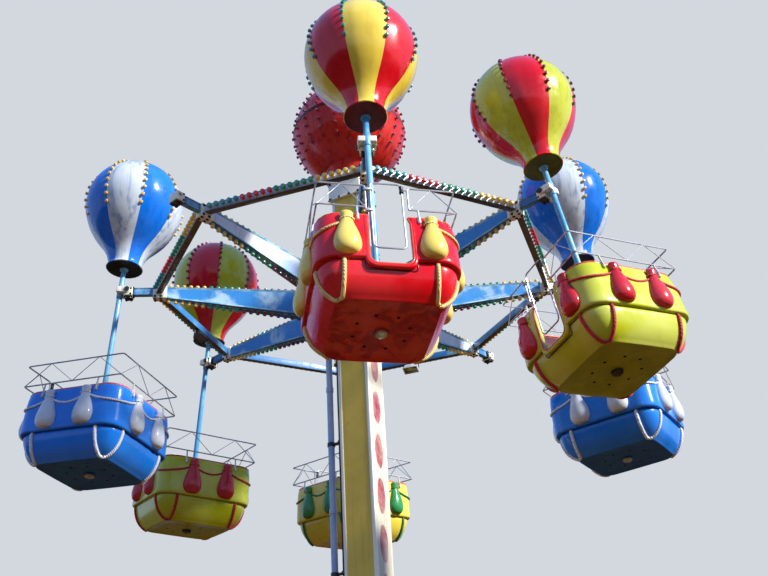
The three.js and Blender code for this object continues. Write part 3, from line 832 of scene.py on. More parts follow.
def make_lamp():
    """One lamp: a foot, a waist and a domed cap."""
    rings = [(0.0165, 0), (0.0165, 0.006), (0.011, 0.009), (0.011, 0.012), (0.018, 0.017), (0.021, 0.027),
             (0.0175, 0.038), (0.009, 0.044)]
    lamp = turned("lamp_template", rings, sides=8, tip=True, angle=50)
    paint_all(lamp, "lamp_yellow", "lamp_foot")
    return paint_where(lamp, 1, lambda face: face.center.z < 0.0062)


def make_bolt(radius=0.012):
    """A hexagon head on its washer."""
    rim = radius * 1.45
    washer = turned("washer", [(rim, -0.001), (rim, 0.002), (radius * 1.3, 0.003)], 12)
    head = turned("head", [(radius, 0.0025), (radius, radius * 0.8), (radius * 0.8, radius)], 6, angle=20)
    return paint_all(join("bolt_template", [washer, head]), "dark_steel")


def envelope_meridian():
    neck = [(0.03, 0.0), (0.196, 0.0), (0.214, 0.003), (0.222, 0.012), *ENVELOPE_NECK]
    angles = [math.radians(a) for a in range(-18, 85, 6)]
    ball = [(ENVELOPE_R * math.cos(a), ENVELOPE_CENTRE + ENVELOPE_R * math.sin(a)) for a in angles]
    return [(radius, MOUTH_Z + height) for radius, height in (*neck, *ball)]


def make_envelope():
    """A pear-shaped shell of eight gores, each a little puffed between its seams, over a dark mouth."""
    rings = [*envelope_meridian(), (0.025, MOUTH_Z + ENVELOPE_CENTRE + ENVELOPE_R - 0.0006)]
    envelope = turned("envelope_template", rings, 6 * GORES, tip=True, angle=60)
    edit_mode(envelope)

    def on_seam(vertex):
        turn = math.degrees(math.atan2(vertex.co.y, vertex.co.x)) % GORE_TURN
        off = min(turn, GORE_TURN - turn)
        return off < 1 and vertex.co.z > MOUTH_Z + 0.05 and vertex.co.xy.length > 0.01

    stretch("verts", on_seam, (0.982, 0.982, 1))
    bpy.ops.object.mode_set(mode="OBJECT")
    paint_all(envelope, "gore_red", "gore_yellow", "mouth_maroon")

    def on_odd_gore(face):
        return math.degrees(math.atan2(face.center.y, face.center.x)) // GORE_TURN % 2 == 1

    paint_where(envelope, 1, on_odd_gore)
    return paint_where(envelope, 2, lambda face: face.center.z < MOUTH_Z + 0.004)


def seam_lamp_places(arm, finish, phase):
    """Lamps along each seam, from the top to just below the widest part."""
    lamps, top, apart = 12, 80.5, 9.6
    places = []
    for seam in range(GORES):
        turn = Matrix.Rotation(math.radians(GORE_TURN * seam) + phase, 4, "Z")
        for step in range(lamps):
            angle = math.radians(top - apart * step)
            out = Vector((math.cos(angle), 0, math.sin(angle)))
            at = Vector((0, 0, MOUTH_Z + ENVELOPE_CENTRE)) + out * (ENVELOPE_R - 0.019)
            places.append((pole_frame(arm) @ turn @ aim(out, at, scale=1.05), finish))
    return places


def make_hanger():
    """The pole with its yoke, swing pin, flange under the mouth and cap under the floor."""
    at = (POLE_X, 0)
    foot = FLOOR_Z - 0.02
    rings = [(0.024, foot), (0.031, foot + 0.01), (0.031, MOUTH_Z - 0.016), (0.03, MOUTH_Z - 0.012)]
    pole = turned("pole", rings, 20, centre=at)
    rings = [(0.036, -0.085), (0.039, -0.08), (0.039, 0.08), (0.036, 0.085)]
    sleeve = turned("sleeve", rings, 20, centre=at)
    yoke = [slab("collar", (0.062, -0.093, -0.038), (0.126, 0.093, 0.038), 0.009, 3)]
    for side in (-1, 1):
        inner, outer = sorted((side * 0.073, side * 0.093))
        yoke.append(slab("cheek", (-0.03, inner, -0.038), (0.072, outer, 0.038), 0.003, 2,
                         lambda: bevel_edges(1, lambda middle: middle.x < 0, 0.03, 5)))
    flange = turned("flange", [(0.036, -0.03), (0.052, -0.012), (0.054, -0.001)], centre=at, base=MOUTH_Z)
    body = paint_all(join("body", [pole, sleeve, flange]), "pole_paint")
    yoke = paint_all(join("yoke", yoke), "cream")
    pin = turned("pin", [(0.012, -0.103), (0.0196, -0.1), (0.0196, 0.1), (0.012, 0.103)], 20)
    nut = [(0.031, 0), (0.034, 0.003), (0.034, 0.011), (0.028, 0.015)]
    nuts = [turned("nut", nut, 6, angle=20, base=low) for low in (0.0925, -0.1075)]
    steel = moved(join("steel", [pin, *nuts]), Matrix.Rotation(math.pi / 2, 4, "X"))
    rings = [(0.03, -0.032), (0.048, -0.028), (0.057, -0.018), (0.058, -0.001)]
    cap = paint_all(turned("cap", rings, centre=at, base=FLOOR_Z), "bright_steel")
    return join("hanger_template", [body, yoke, paint_all(steel, "dark_steel"), cap])


def make_shell():
    """The basket's moulding: floor, bowl, overhanging wall and rim, with the doorway cut into it."""
    rings = [(half, FLOOR_Z + level) for half, level in BASKET_OUTSIDE + BASKET_INSIDE]
    rings = [(0.3, rings[0][1]), *rings]
    corner = BASKET_CORNER * rings[0][0] / BASKET_WIDEST
    shell = drawn_square("shell_template", rings, corner, bow=0.05, angle=42)
    doorway = slab("doorway", (0.44, -DOOR_HALF, DOOR_SILL), (0.75, DOOR_HALF, RIM_Z + 0.2), 0,
                   shape=lambda: bevel_edges(0, lambda middle: middle.z < -1.9, 0.085, 7))
    bore = turned("bore", [(0.034, -0.1), (0.034, 0.3)], base=FLOOR_Z)
    holes = [turned("hole", [(0.016, -0.02), (0.016, 0.03)], 12, centre=at, base=FLOOR_Z)
             for at in spots_round(HOLE_RING, FLOOR_HOLES, 0.58)]
    cut(shell, doorway, bore, join("holes", holes), angle=42)
    paint_all(shell, "crimson", "inside_grey", "mouth_black")

    def inside(face):
        x, y, z = face.center
        inwards = -(face.normal.x * x + face.normal.y * y) / math.hypot(x, y)
        on_floor = face.normal.z > 0.5 and max(abs(x), abs(y)) < 0.5
        return FLOOR_Z + 0.03 < z < RIM_Z - 0.02 and (inwards > 0.5 or on_floor)

    # Painted shade: the walls and blind ends of the floor's holes and the bore's wall take the dark third
    # material.
    def in_hole(face):
        reach = face.center.xy.length
        blind_end = face.area < 0.001 and abs(reach - HOLE_RING) < 0.0125
        return face.center.z < FLOOR_Z + 0.032 and reach < 0.3 and (abs(face.normal.z) < 0.5 or blind_end)

    paint_where(shell, 1, inside)
    return paint_where(shell, 2, in_hole)


def make_inside():
    """A bench on three sides and the bearing tube round the pole."""
    bench = drawn_square("bench", [(0.573, -1.948), (0.573, -1.9), (0.556, -1.893)], 0.19)
    well = drawn_square("well", [(0.34, -2.0), (0.34, -1.7)], 0.12)
    cut(bench, well, slab("front", (0.2, -0.3, -2.0), (0.6, 0.3, -1.7), 0))
    apron = drawn_square("apron", [(0.336, -2.25), (0.344, -1.945)], 0.12, filled=False)
    add_modifier(apron, "SOLIDIFY", thickness=0.012)
    cut(apron, slab("gap", (0.2, -0.3, -2.3), (0.6, 0.3, -1.7), 0))
    rings = [(0.085, 0.04), (0.085, 0.056), (0.062, 0.062), (0.06, 0.16), (0.056, 0.165)]
    bearing = turned("bearing", rings, base=FLOOR_Z)
    cut(bearing, turned("hole", [(0.0345, 0), (0.0345, 0.3)], base=FLOOR_Z))
    inside = paint_all(join("inside", [bench, apron]), "inside_grey")
    return join("inside_template", [inside, paint_all(bearing, "deck_grey")])


def make_bag():
    """A sandbag: pear-shaped, gathered under a tied neck, with a flared top and a flat back."""
    rings = [(0.03, 0.0), (0.07, 0.006), (0.098, 0.026), (0.116, 0.06), (0.1225, 0.1), (0.118, 0.145),
             (0.107, 0.192), (0.092, 0.236), (0.077, 0.278), (0.064, 0.316), (0.057, 0.346), (0.055, 0.366),
             (0.058, 0.388), (0.062, 0.41), (0.059, 0.43), (0.042, 0.441)]
    bag = turned("bag", rings, 16, angle=80)
    edit_mode(bag)

    def on_pleat(vertex):
        turn = round(math.degrees(math.atan2(vertex.co.y, vertex.co.x)) / 22.5)
        return turn % 2 == 0 and 0.28 < vertex.co.z < 0.42

    stretch("verts", on_pleat, (0.88, 0.88, 1))
    stretch("verts", lambda vertex: vertex.co.x < -0.001, (0.4, 1, 1))
    stretch("verts", lambda vertex: vertex.co.x > 0.001, (0.76, 1, 1))
    bpy.ops.object.mode_set(mode="OBJECT")
    add_modifier(bag, "SUBSURF", levels=1, render_levels=1)
    activate(bag)
    bpy.ops.object.shade_smooth()
    return paint_all(bag, "bag_red")


def bag_places():
    """How far round the basket each bag hangs: two on a face, wider apart beside the doorway."""
    spots = [(face, BAG_AT if face else BAG_AT_DOOR) for face in range(4)]
    return [QUARTER * face + side * out for face, out in spots for side in (-1, 1)]


def stand_on_wall(along, height):
    """A frame on the basket's wall: X away from the wall, Z up."""
    near, far = round_basket(along - 0.01, height), round_basket(along + 0.01, height)
    side = (far - near).normalized()
    up = Vector((0, 0, 1))
    return frame_of(side.cross(up), side, up, round_basket(along, height, PROUD))


def make_bags():
    drop = Matrix.Translation((0, 0, BAG_LOW - BAG_MIDDLE))
    places = [stand_on_wall(along, BAG_MIDDLE) @ drop for along in bag_places()]
    return join("bags_template", copies_at(places, make_bag()))


def leg_along(height):
    """How far round the basket a rope that hangs straight down a face is at a height."""
    share = half_width(height) / BASKET_WIDEST
    beyond = LEG_AT / share - FLAT_HALF
    if beyond <= 0:
        return LEG_AT / share
    return FLAT_HALF + BASKET_CORNER * math.asin(beyond / BASKET_CORNER)


def make_ropes(sizes):
    """Swags from neck to neck, a turn round each neck, and a loop under each corner of the bowl."""
    ropes = []
    spots = sorted(bag_places())
    for near, far in zip(spots, spots[1:] + [spots[0] + 4 * QUARTER]):
        if near < 0 < far:
            continue
        sag, run = 0.045 + 0.08 * (far - near), far - near
        line = [round_basket(near + run * t, NECK_Z - sag * 4 * t * (1 - t), PROUD)
                for t in (k / 14 for k in range(15))]
        ropes.append(tube("swag", line, sizes.rope_radius))
    for along in spots:
        turn = stand_on_wall(along, NECK_Z)
        ring = [turn @ Vector((0.013 + 0.031 * math.cos(a), 0.057 * math.sin(a), 0.004 * math.cos(3 * a)))
                for a in (2 * math.pi * k / 14 for k in range(14))]
        ropes.append(tube("tie", ring, 0.0095, closed=True))
    drop = [GROOVE_Z - 0.002, -2.03, -2.07, -2.11, -2.15, -2.19, -2.222, -2.248, -2.268, -2.28]
    for corner in range(4):
        start = QUARTER * corner
        line = [(start + leg_along(height), height) for height in drop]
        line += [(start + leg_along(drop[-1]) + 0.02 * k, -2.286) for k in (1, 2, 3)]
        line += [(2 * start + QUARTER - along, height) for along, height in reversed(line)]
        ropes.append(tube("loop", [round_basket(a, z, PROUD) for a, z in line], sizes.strap_radius))
    return paint_all(join("ropes_template", ropes), "rope_yellow")


def doorway_line(half, sill, face_x, top=RIM_Z):
    """Down one side of the doorway, under it and up the other, in the plane of the wall."""
    flat = [(face_x - 0.016, -half, top), (face_x, -half, top - 0.15), (face_x, -half, sill),
            (face_x, half, sill), (face_x, half, top - 0.15), (face_x - 0.016, half, top)]
    return filleted(flat, 0.09, 6)


def make_trim():
    """A thin coloured bead along the rim and round the doorway's edge."""
    steps = 56
    total = 4 * QUARTER - 2 * DOOR_HALF
    rim = [round_basket(DOOR_HALF + total * k / steps, RIM_Z + 0.002, -0.008) for k in range(steps + 1)]
    down = doorway_line(DOOR_HALF + 0.004, DOOR_SILL - 0.004, BASKET_WIDEST - 0.004)[1:-1]
    # The bead round the doorway is partly trim and partly painted highlight: it stands for the bright edge
    # along the lip's inner side.
    edge = tube("edge", [rim[-1], *down, rim[0]], 0.0115)
    return paint_all(join("trim_template", [tube("rim", rim, 0.0165, sides=3), edge]), "rim_red")


def make_lip():
    """The broad lip round the doorway, and a dark tube painted as the overhang's shadow line, which dips
    under the lip.
    """
    line = doorway_line(DOOR_HALF + LIP_R - 0.004, DOOR_SILL - LIP_R + 0.004, 0.606, RIM_Z - 0.012)
    lip = paint_all(tube("lip", line, LIP_R, sides=4), "crimson")
    out, low = DOOR_HALF + 2 * LIP_R - 0.01, DOOR_SILL - 2 * LIP_R + 0.01
    flat = [(-0.36, GROOVE_Z), (-out, GROOVE_Z), (-out, low), (out, low), (out, GROOVE_Z), (0.36, GROOVE_Z)]
    line = [Vector((half_width(p.y) - 0.003, p.x, p.y)) for p in filleted([(*p, 0) for p in flat], 0.12, 6)]
    # Painted shadow: a dark tube along the wall where the overhang's shadow falls.
    dip = tube("dip", line, 0.011)
    return join("lip_template", [lip, paint_all(dip, "mouth_black")])


def rail_zigzag(start, end, braces):
    """The corners of the braces between the two rails, seen along one side."""
    step = (end - start) / braces
    return [(start + step * k, RAIL_LOW if k % 2 == 0 else RAIL_HIGH) for k in range(braces + 1)]


def make_rail(sizes):
    """Two wire rails that stop at the doorway, zigzag braces, and clips with white saddles on the rim."""
    half, gap, wire = RAIL_HALF, 0.184, sizes.wire_radius
    loop = [(half, gap), (half, half), (-half, half), (-half, -half), (half, -half), (half, -gap)]
    ends = [(half, gap, RAIL_LOW), *((x, y, RAIL_HIGH) for x, y in loop), (half, -gap, RAIL_LOW)]
    parts = [tube("top", filleted(ends, 0.03), wire, sides=1),
             tube("low", filleted([(x, y, RAIL_LOW) for x, y in loop], 0.03), wire, sides=1)]
    saddles = []
    for face in range(4):
        turn = quarter_turn(face)
        for start, end, braces in [(-half, half, 4)] if face else [(-half, -gap, 2), (gap, half, 2)]:
            zigzag = [turn @ Vector((half, y, z)) for y, z in rail_zigzag(start, end, braces)]
            parts.append(tube("brace", zigzag, wire * 0.62, sides=1))
        for side in (-1, 1):
            at = side * (CLIP_AT if face else CLIP_AT_DOOR)
            bend = [(0.622, at, RIM_Z - 0.058), (0.612, at, RIM_Z), (0.6, at, -1.475), (0.6, at, RAIL_LOW)]
            clip = [tube("clip", filleted(bend, 0.02), 0.0095, sides=1)]
            low, high = (0.596, at - 0.014, RIM_Z - 0.072), (0.629, at + 0.014, RIM_Z - 0.028)
            clip.append(slab("saddle", low, high, 0.011, 3))
            low, high = (0.565, at - 0.016, RIM_Z - 0.03), (0.609, at + 0.016, RIM_Z + 0.014)
            clip.append(slab("cap", low, high, 0.006))
            saddles += [moved(part, turn) for part in clip]
    for low in (RAIL_HIGH - 0.06, RAIL_LOW - 0.05):
        parts.append(slab("eye", (half - 0.009, -gap - 0.008, low), (0.622, -0.124, low + 0.024)))
    parts.append(tube("post", [(half, -gap, RAIL_LOW), (half, -gap, RAIL_LOW - 0.055)], wire, sides=1))
    wires = paint_all(join("wires", parts), "bright_wire")
    return join("rail_template", [wires, paint_all(join("saddles", saddles), "housing_white")])


def make_gate(sizes):
    """A wire frame with round corners, hung in two eyes, with a latch barrel near its top."""
    x, hinge, free, low, high, latch = GATE_X, GATE_HINGE, 0.132, -1.88, -1.165, -1.225
    corners = [(x, hinge, low), (x, free, low), (x, free, high), (x, hinge, high)]
    loop = tube("loop", filleted(corners, 0.05, 5, closed=True), sizes.wire_radius, closed=True, sides=1)
    rings = [(0.014, -0.0255), (0.016, -0.023), (0.016, -0.014), (0.014, -0.0115)]
    collar = turned("collar", rings, 12, centre=(x, hinge), base=RAIL_LOW)
    bolt = tube("bolt", [(x, free, latch), (x, 0.172, latch), (x, 0.181, latch)], 0.007, sides=1)
    wires = paint_all(join("wires", [loop, collar, bolt]), "bright_wire")
    end = [(0.0175, 0.02), (0.02, 0.024), (0.02, 0.034), (0.014, 0.04)]
    rings = [(radius, -height) for radius, height in reversed(end)] + end
    barrel = turned("barrel", rings, 16, centre=(x, free), base=latch)
    return join("gate_template", [wires, paint_all(barrel, "dark_steel")])


def make_arm():
    """A tapered arm with recessed sides, its cream ring cap, ridged stub and bored bearing block."""
    def on_side(face):
        return abs(face.normal.y) > 0.9

    def taper():
        stretch("faces", lambda face: face.normal.x > 0.9, (1, 0.5, 0.145 / 0.33), (ARM_END, 0, -0.22))
        bpy.ops.transform.translate(value=(0, 0, 0.1975))
        sink(on_side, 0.02, 0.011)

    beam = slab("beam", (ARM_ROOT, -0.08, ARM_LOW), (ARM_END, 0.08, ARM_HIGH), 0.003, 2, taper)
    paint_all(beam, "arm_flange", "arm_web", "tie_back")
    paint_where(beam, 1, lambda face: face.area > 0.05 and on_side(face))
    paint_where(beam, 2, lambda face: face.area > 0.05 and abs(face.normal.z) > 0.8)
    stub = slab("stub", (2.44, -0.034, -0.047), (2.70, 0.034, 0.047), 0.002, 2,
                lambda: sink(on_side, 0.014, 0.013))
    paint_all(stub, "tie_back")
    block = slab("block", (PIN_R - 0.062, -0.07, -0.07), (PIN_R + 0.042, 0.07, 0.042), 0.01, 3)
    lying = Matrix.Translation((PIN_R, 0, 0)) @ Matrix.Rotation(math.pi / 2, 4, "X")
    cut(block, moved(turned("bore", [(0.0208, -0.2), (0.0208, 0.2)], 20), lying))
    plate = slab("plate", (ARM_ROOT, -0.098, -0.396), (0.656, 0.098, -0.036), 0.003)
    cap = slab("cap", (2.292, -0.05, -0.104), (2.456, 0.05, 0.058), 0.008, 3)
    seam = slab("seam", (2.318, -0.053, -0.107), (2.332, 0.053, 0.061), 0.002)
    cream = paint_all(join("cream_parts", [plate, cap, seam, block]), "cream")
    bracket = slab("bracket", (PIN_R - 0.056, -0.056, -0.086), (PIN_R + 0.034, 0.056, -0.068))
    neck = slab("neck", (PIN_R - 0.075, -0.048, -0.056), (PIN_R - 0.056, 0.048, 0.056))
    dark = paint_all(join("dark_parts", [bracket, neck]), "dark_steel")
    spots = []
    for side, cap_end, block_end in ((-1, -0.104, -0.086), (1, 0.058, 0.042)):
        spots += [aim((1, 0, 0), (0.656, side * 0.086, z)) for z in (-0.37, -0.22, -0.07)]
        spots += [aim((0, side, 0), (x, side * 0.05, z)) for x in (2.355, 2.43) for z in (-0.08, 0.036)]
        spots += [aim((0, 0, side), (x, y, cap_end)) for x in (2.36, 2.43) for y in (-0.026, 0.026)]
        spots += [aim((0, 0, side), (PIN_R + x, y, block_end)) for x in (-0.038, 0.018)
                  for y in (-0.038, 0.038)]
        spots += [aim((0, side, 0), (PIN_R - 0.045, side * 0.07, z), scale=0.8) for z in (-0.05, 0.022)]
    return join("arm_template", [beam, stub, cream, dark, *copies_at(spots, make_bolt())])


def make_tie():
    """A tie beam with mitred ends and a white reflector let into its outer face."""
    half = 0.0375
    reach = TIE_X * math.tan(HALF_STEP) - 0.0403 / math.cos(HALF_STEP)

    def mitre():
        for outward in (-1, 1):
            for end in (-1, 1):
                select_where("verts", lambda v: (v.co.x - TIE_X) * outward > 0 and v.co.y * end > 0)
                bpy.ops.transform.translate(value=(0, outward * end * half * math.tan(HALF_STEP), 0))
        sink(lambda face: face.normal.x > 0.9, 0.009, 0.006)

    low, high = (TIE_X - half, -reach, -0.045), (TIE_X + half, reach, 0.045)
    tie = paint_all(slab("tie_template", low, high, 0.0025, 2, mitre), "tie_back", "tie_front", "tie_under")
    paint_where(tie, 1, lambda face: face.area > 0.05 and face.normal.x > 0.9)
    # Painted shade: the faces that point down take the dark third material.
    return paint_where(tie, 2, lambda face: face.normal.z < -0.7)


def make_floodlight(along, shell):
    """A floodlight in its stirrup under a tie, tipped to face outwards."""
    top = -0.0453

    def front():
        stretch("faces", lambda face: face.normal.z > 0.9, (0.62, 0.72, 1))
        sink(lambda face: face.normal.z < -0.9, 0.012, 0.01)

    lamp = slab("housing", (-0.065, -0.105, -0.09), (0.065, 0.105, 0), 0.004, 2, front)
    paint_all(lamp, shell, "lamp_glass")
    paint_where(lamp, 1, lambda face: face.normal.z < -0.9 and face.area > 0.01)
    moved(lamp, Matrix.Translation((TIE_X, along, top - 0.025)) @ Matrix.Rotation(math.radians(20), 4, "Y"))
    strap = [(TIE_X, along + y, z) for y, z in ((-0.113, -0.115), (-0.113, -0.058), (0, -0.052),
                                                (0.113, -0.058), (0.113, -0.115))]
    stirrup = tube("stirrup", filleted(strap, 0.02), 0.006)
    foot = slab("foot", (TIE_X - 0.02, along - 0.03, -0.058), (TIE_X + 0.02, along + 0.03, top), 0.003)
    dark = paint_all(join("dark", [stirrup, foot]), "dark_steel")
    return join("floodlight_template", [lamp, dark])


def make_hub():
    """The drum behind the arms: plated rim, with bolts round its top and bottom and on each face between
    the arms.
    """
    low, high, out, mouth = -0.4, -0.03, 0.6525, 0.5149
    sides = 2 * ARMS
    edge = [(out - 0.004, 0), (out, 0.004), (out, 0.02), (out - 0.008, 0.026)]
    rings = [(mouth, low), *((r, low + z) for r, z in edge)]
    rings += [*((r, high - z) for r, z in reversed(edge)), (mouth, high)]
    shell = turned("shell", rings, sides, filled=False, angle=30)
    moved(shell, Matrix.Rotation(math.radians(180 / sides), 4, "Z"))
    add_modifier(shell, "SOLIDIFY", thickness=0.012, offset=-1)
    paint_all(shell, "arm_flange", "arm_web")
    paint_where(shell, 1, lambda face: abs(face.normal.z) < 0.3 and face.area > 0.02)
    spots = [aim((0, 0, side), (x, y, height))
             for x, y in spots_round(0.58, 32) for height, side in ((low, -1), (high, 1))]
    for k in range(ARMS):
        face = Matrix.Rotation(math.radians(ARM_STEP * (k + 0.5)), 4, "Z")
        spots += [face @ aim((1, 0, 0), (0.6325, y, z))
                  for y in (-0.085, 0.085) for z in (low + 0.06, high - 0.06)]
    return join("hub_template", [shell, *copies_at(spots, make_bolt(radius=0.011))])


def make_sleeve():
    """The carriage: a square sleeve round the mast with a turntable deck, ribs and pads."""
    low, high, half, bore, slot, under = -0.62, 0.55, 0.235, 0.205, 0.065, -0.47
    sleeve = square_slab("sleeve", half, low, high, 0.004, 2,
                         lambda: sink(lambda face: abs(face.normal.z) < 0.1, 0.035, 0.006))
    deck = turned("deck", [(0.575, under), (0.583, -0.466), (0.583, -0.444), (0.575, -0.44)], 64)
    cut(sleeve, square_slab("inner", bore, low - 0.01, high + 0.01, 0),
        slab("path", (-0.475, -slot, low - 0.02), (0, slot, high + 0.02), 0))
    cut(deck, square_slab("well", half - 0.01, under - 0.01, -0.43, 0),
        slab("groove", (-0.475, -slot, under - 0.01), (0, slot, -0.43), 0))
    parts = [sleeve, deck]
    for face in (0, 1, 3):
        rib = slab("rib", (half - 0.006, -0.01, low), (0.545, 0.01, under + 0.0005), 0.002, 1,
                   lambda: bevel_edges(1, lambda middle: middle.x > 0.5 and middle.z < -0.5, 0.11, 1))
        parts.append(moved(rib, quarter_turn(face)))
    pads = []
    for top in (-0.51, 0.53):
        for face in range(4):
            at, wide = (0.11, 0.03) if face == 2 else (0.12, 0.035)
            for y in (-at, at):
                pad = slab("pad", (0.1905, y - wide, top - 0.09), (bore + 0.004, y + wide, top), 0.003)
                pads.append(moved(pad, quarter_turn(face)))
    spots = [quarter_turn(face) @ aim((1, 0, 0), (half, y, z))
             for face in range(4) for z in (-0.6, -0.53, 0.46, 0.53) for y in (-0.2, -0.1, 0.1, 0.2)]
    spots += [aim((0, 0, -1), (x, y, under)) for x, y in spots_round(0.545, 24) if x > 0 or abs(y) > 0.087]
    steel = paint_all(join("steel", parts), "deck_grey")
    pads = paint_all(join("pads", pads), "housing_black")
    return join("sleeve_template", [steel, pads, *copies_at(spots, make_bolt(radius=0.013))])


def make_head():
    """The cream box on top of the mast: recessed side panels, a raised lid and bolts."""
    half = 0.23
    box = square_slab("box", half, HEAD_LOW, HEAD_TOP - 0.004, 0.007, 3,
                      lambda: sink(lambda face: abs(face.normal.z) < 0.1, 0.03, 0.005))
    cut(box, square_slab("socket", MAST_SOCKET, HEAD_LOW - 0.02, HEAD_TOP - 0.02, 0))
    lid = square_slab("lid", half + 0.006, HEAD_TOP - 0.016, HEAD_TOP)
    spots = [quarter_turn(face) @ aim((1, 0, 0), (half, y, z)) for face in range(4)
             for y in (-0.2, -0.07, 0.07, 0.2) for z in (HEAD_LOW + 0.016, HEAD_TOP - 0.034)]
    shell = paint_all(join("shell", [box, lid]), "cream")
    return join("head_template", [shell, *copies_at(spots, make_bolt(radius=0.013))])


def make_crown():
    """The crown's ball: an upper bowl, a raised band round the widest part and a skirt."""
    def arc(start, end, steps):
        angles = [math.radians(start + (end - start) * k / steps) for k in range(steps + 1)]
        return [(CROWN_R * math.cos(a), CROWN_Z + CROWN_R * math.sin(a)) for a in angles]

    foot = HEAD_TOP + 0.0005
    band = [(0.012, -0.03), (0.016, -0.02), (0.016, 0.02), (0.012, 0.03)]
    band = [(CROWN_R + out, CROWN_Z + z) for out, z in band]
    rings = [(0.18, foot), (0.24, foot), (0.246, foot + 0.012), *arc(-63, -5, 14), *band, *arc(5, 87, 18)]
    crown = turned("crown_template", rings, 64, tip=True, angle=28)

    def on_band(face):
        return abs(face.center.z - CROWN_Z) < 0.034 and face.center.xy.length > CROWN_R + 0.002

    return paint_where(paint_all(crown, "crown_shell", "crown_band"), 1, on_band)


def crown_knob_places():
    """Rows of knobs down the ball's meridians, fewer of them near the top, and none on the band."""
    rows, knobs, top, apart, band = 20, 13, 80, 9.4, 4.5
    places = []
    for row in range(rows):
        turn = Matrix.Rotation(2 * math.pi * row / rows, 3, "Z")
        for step in range(knobs):
            angle = math.radians(top - apart * step)
            crowded = math.cos(angle) < 0.42 and row % 2
            if crowded or abs(angle) < math.radians(band):
                continue
            out = turn @ Vector((math.cos(angle), 0, math.sin(angle)))
            places.append((aim(out, Vector((0, 0, CROWN_Z)) + out * (CROWN_R - 0.005)), None))
    return places


def make_lift_pipe():
    """The lift pipe with its couplings, two hoses and the clamps that hold them to the mast."""
    radius, low, hose_x, steps = 0.037, 0.0403, -0.29, 60
    couplings, first_coupling, clamped, first_clamp = 5, 1.9, 6, 1.22
    rings = [(radius, low)]
    for k in range(couplings):
        z = first_coupling + CLAMP_STEP * k
        rings += [(radius, z), (radius + 0.007, z + 0.004), (radius + 0.007, z + 0.06), (radius, z + 0.064)]
    rings += [(radius, PIPE_TOP - 0.03), (radius - 0.008, PIPE_TOP - 0.006), (radius - 0.02, PIPE_TOP)]
    pipe = paint_all(turned("pipe", rings, 28, centre=(PIPE_X, 0)), "pipe_paint")
    hoses = []
    for side in (-1, 1):
        start, end = (Vector((hose_x, side * 0.025, z)) for z in (low, PIPE_TOP - 0.12))
        waved = [start.lerp(end, k / steps) + Vector((0, 0.002 * math.sin(k * 1.3 + side), 0))
                 for k in range(steps + 1)]
        hoses.append(tube("hose", waved, 0.0105, sides=3))
    clamps = []
    for k in range(clamped):
        z = first_clamp + CLAMP_STEP * k
        clamps.append(slab("plate", (-0.205, -0.045, z), (-MAST_SOCKET, 0.045, z + 0.05), 0.003))
        clamps.append(slab("arm", (-0.4, -0.02, z + 0.012), (-0.2, 0.02, z + 0.038), 0.003))
        rings = [(0.03, 0.002), (0.0455, 0.004), (0.0455, 0.046), (0.03, 0.048)]
        clamps.append(turned("collar", rings, centre=(PIPE_X, 0), base=z))
        low_bar, high_bar = (hose_x - 0.016, -0.045, z + 0.004), (hose_x + 0.016, 0.045, z + 0.046)
        clamps.append(slab("bar", low_bar, high_bar, 0.006))
    hoses = paint_all(join("hoses", hoses), "hose_rubber")
    return join("pipe_template", [pipe, hoses, paint_all(join("clamps", clamps), "housing_black")])


def make_base():
    """The base plate with its gussets and anchor bolts."""
    thick = 0.04
    parts = [square_slab("plate", 0.5, 0, thick, 0.006, 3)]

    def slope():
        select_where("verts", lambda v: v.co.x > 0.3 and v.co.z > 0.2)
        bpy.ops.transform.translate(value=(0, 0, -0.39))
        bevel_edges(1, lambda middle: middle.x < 0.2 and middle.z > 0.4, 0.03, 1)

    for face in range(4):
        for y in (-0.12, 0.12):
            low, high = (MAST_SOCKET, y - 0.007, thick - 0.001), (0.4503, y + 0.007, thick + 0.419)
            gusset = slab("gusset", low, high, 0.002, 1, slope)
            parts.append(moved(gusset, quarter_turn(face)))
    steel = paint_all(join("steel", parts), "base_paint")
    rings = [(0.045, -0.001), (0.045, 0.005), (0.03, 0.006), (0.03, 0.03), (0.017, 0.032), (0.017, 0.042),
             (0.014, 0.045)]
    anchor = paint_all(turned("anchor", rings, 6, angle=20, base=thick), "bright_steel")
    spots = [quarter_turn(k) @ Matrix.Translation((0.43, 0.43, 0)) for k in range(4)]
    return join("base_template", [steel, *copies_at(spots, anchor)])


def make_mast_edges():
    """Cream edge bands that stand a little proud of the mast's faces."""
    bands = []
    for face in range(4):
        for near, far in ((-0.1925, -0.156), (0.156, 0.1925)):
            band = slab("band", (0.1896, near, MAST_LOW), (0.1932, far, HEAD_LOW - 0.005), 0.0012)
            bands.append(moved(band, quarter_turn(face)))
    return paint_all(join("mast_edges", bands), "cream")


class RIDE_OT_balloons(bpy.types.Operator):
    """Build the balloons with the lamps along their seams"""

    bl_idname = "ride.balloons"
    bl_label = "Balloons"

    def execute(self, context):
        envelope = make_envelope()
        lamp = make_lamp()
        for arm, look in GONDOLAS.items():
            phase = math.radians(look["phase"])
            place = pole_frame(arm) @ Matrix.Rotation(phase, 4, "Z")
            hang_copy(envelope, f"envelope_{arm}", place, f"swing_{arm}", look["slot"], f"balloon_{arm}",
                      materials=[*look["gores"], look["mouth"]])
            lamps = seam_lamp_places(arm, look["lamp"], phase)
            scatter(f"envelope_lamps_{arm}", lamp, lamps, f"swing_{arm}")
        discard(envelope, lamp)
        return {"FINISHED"}


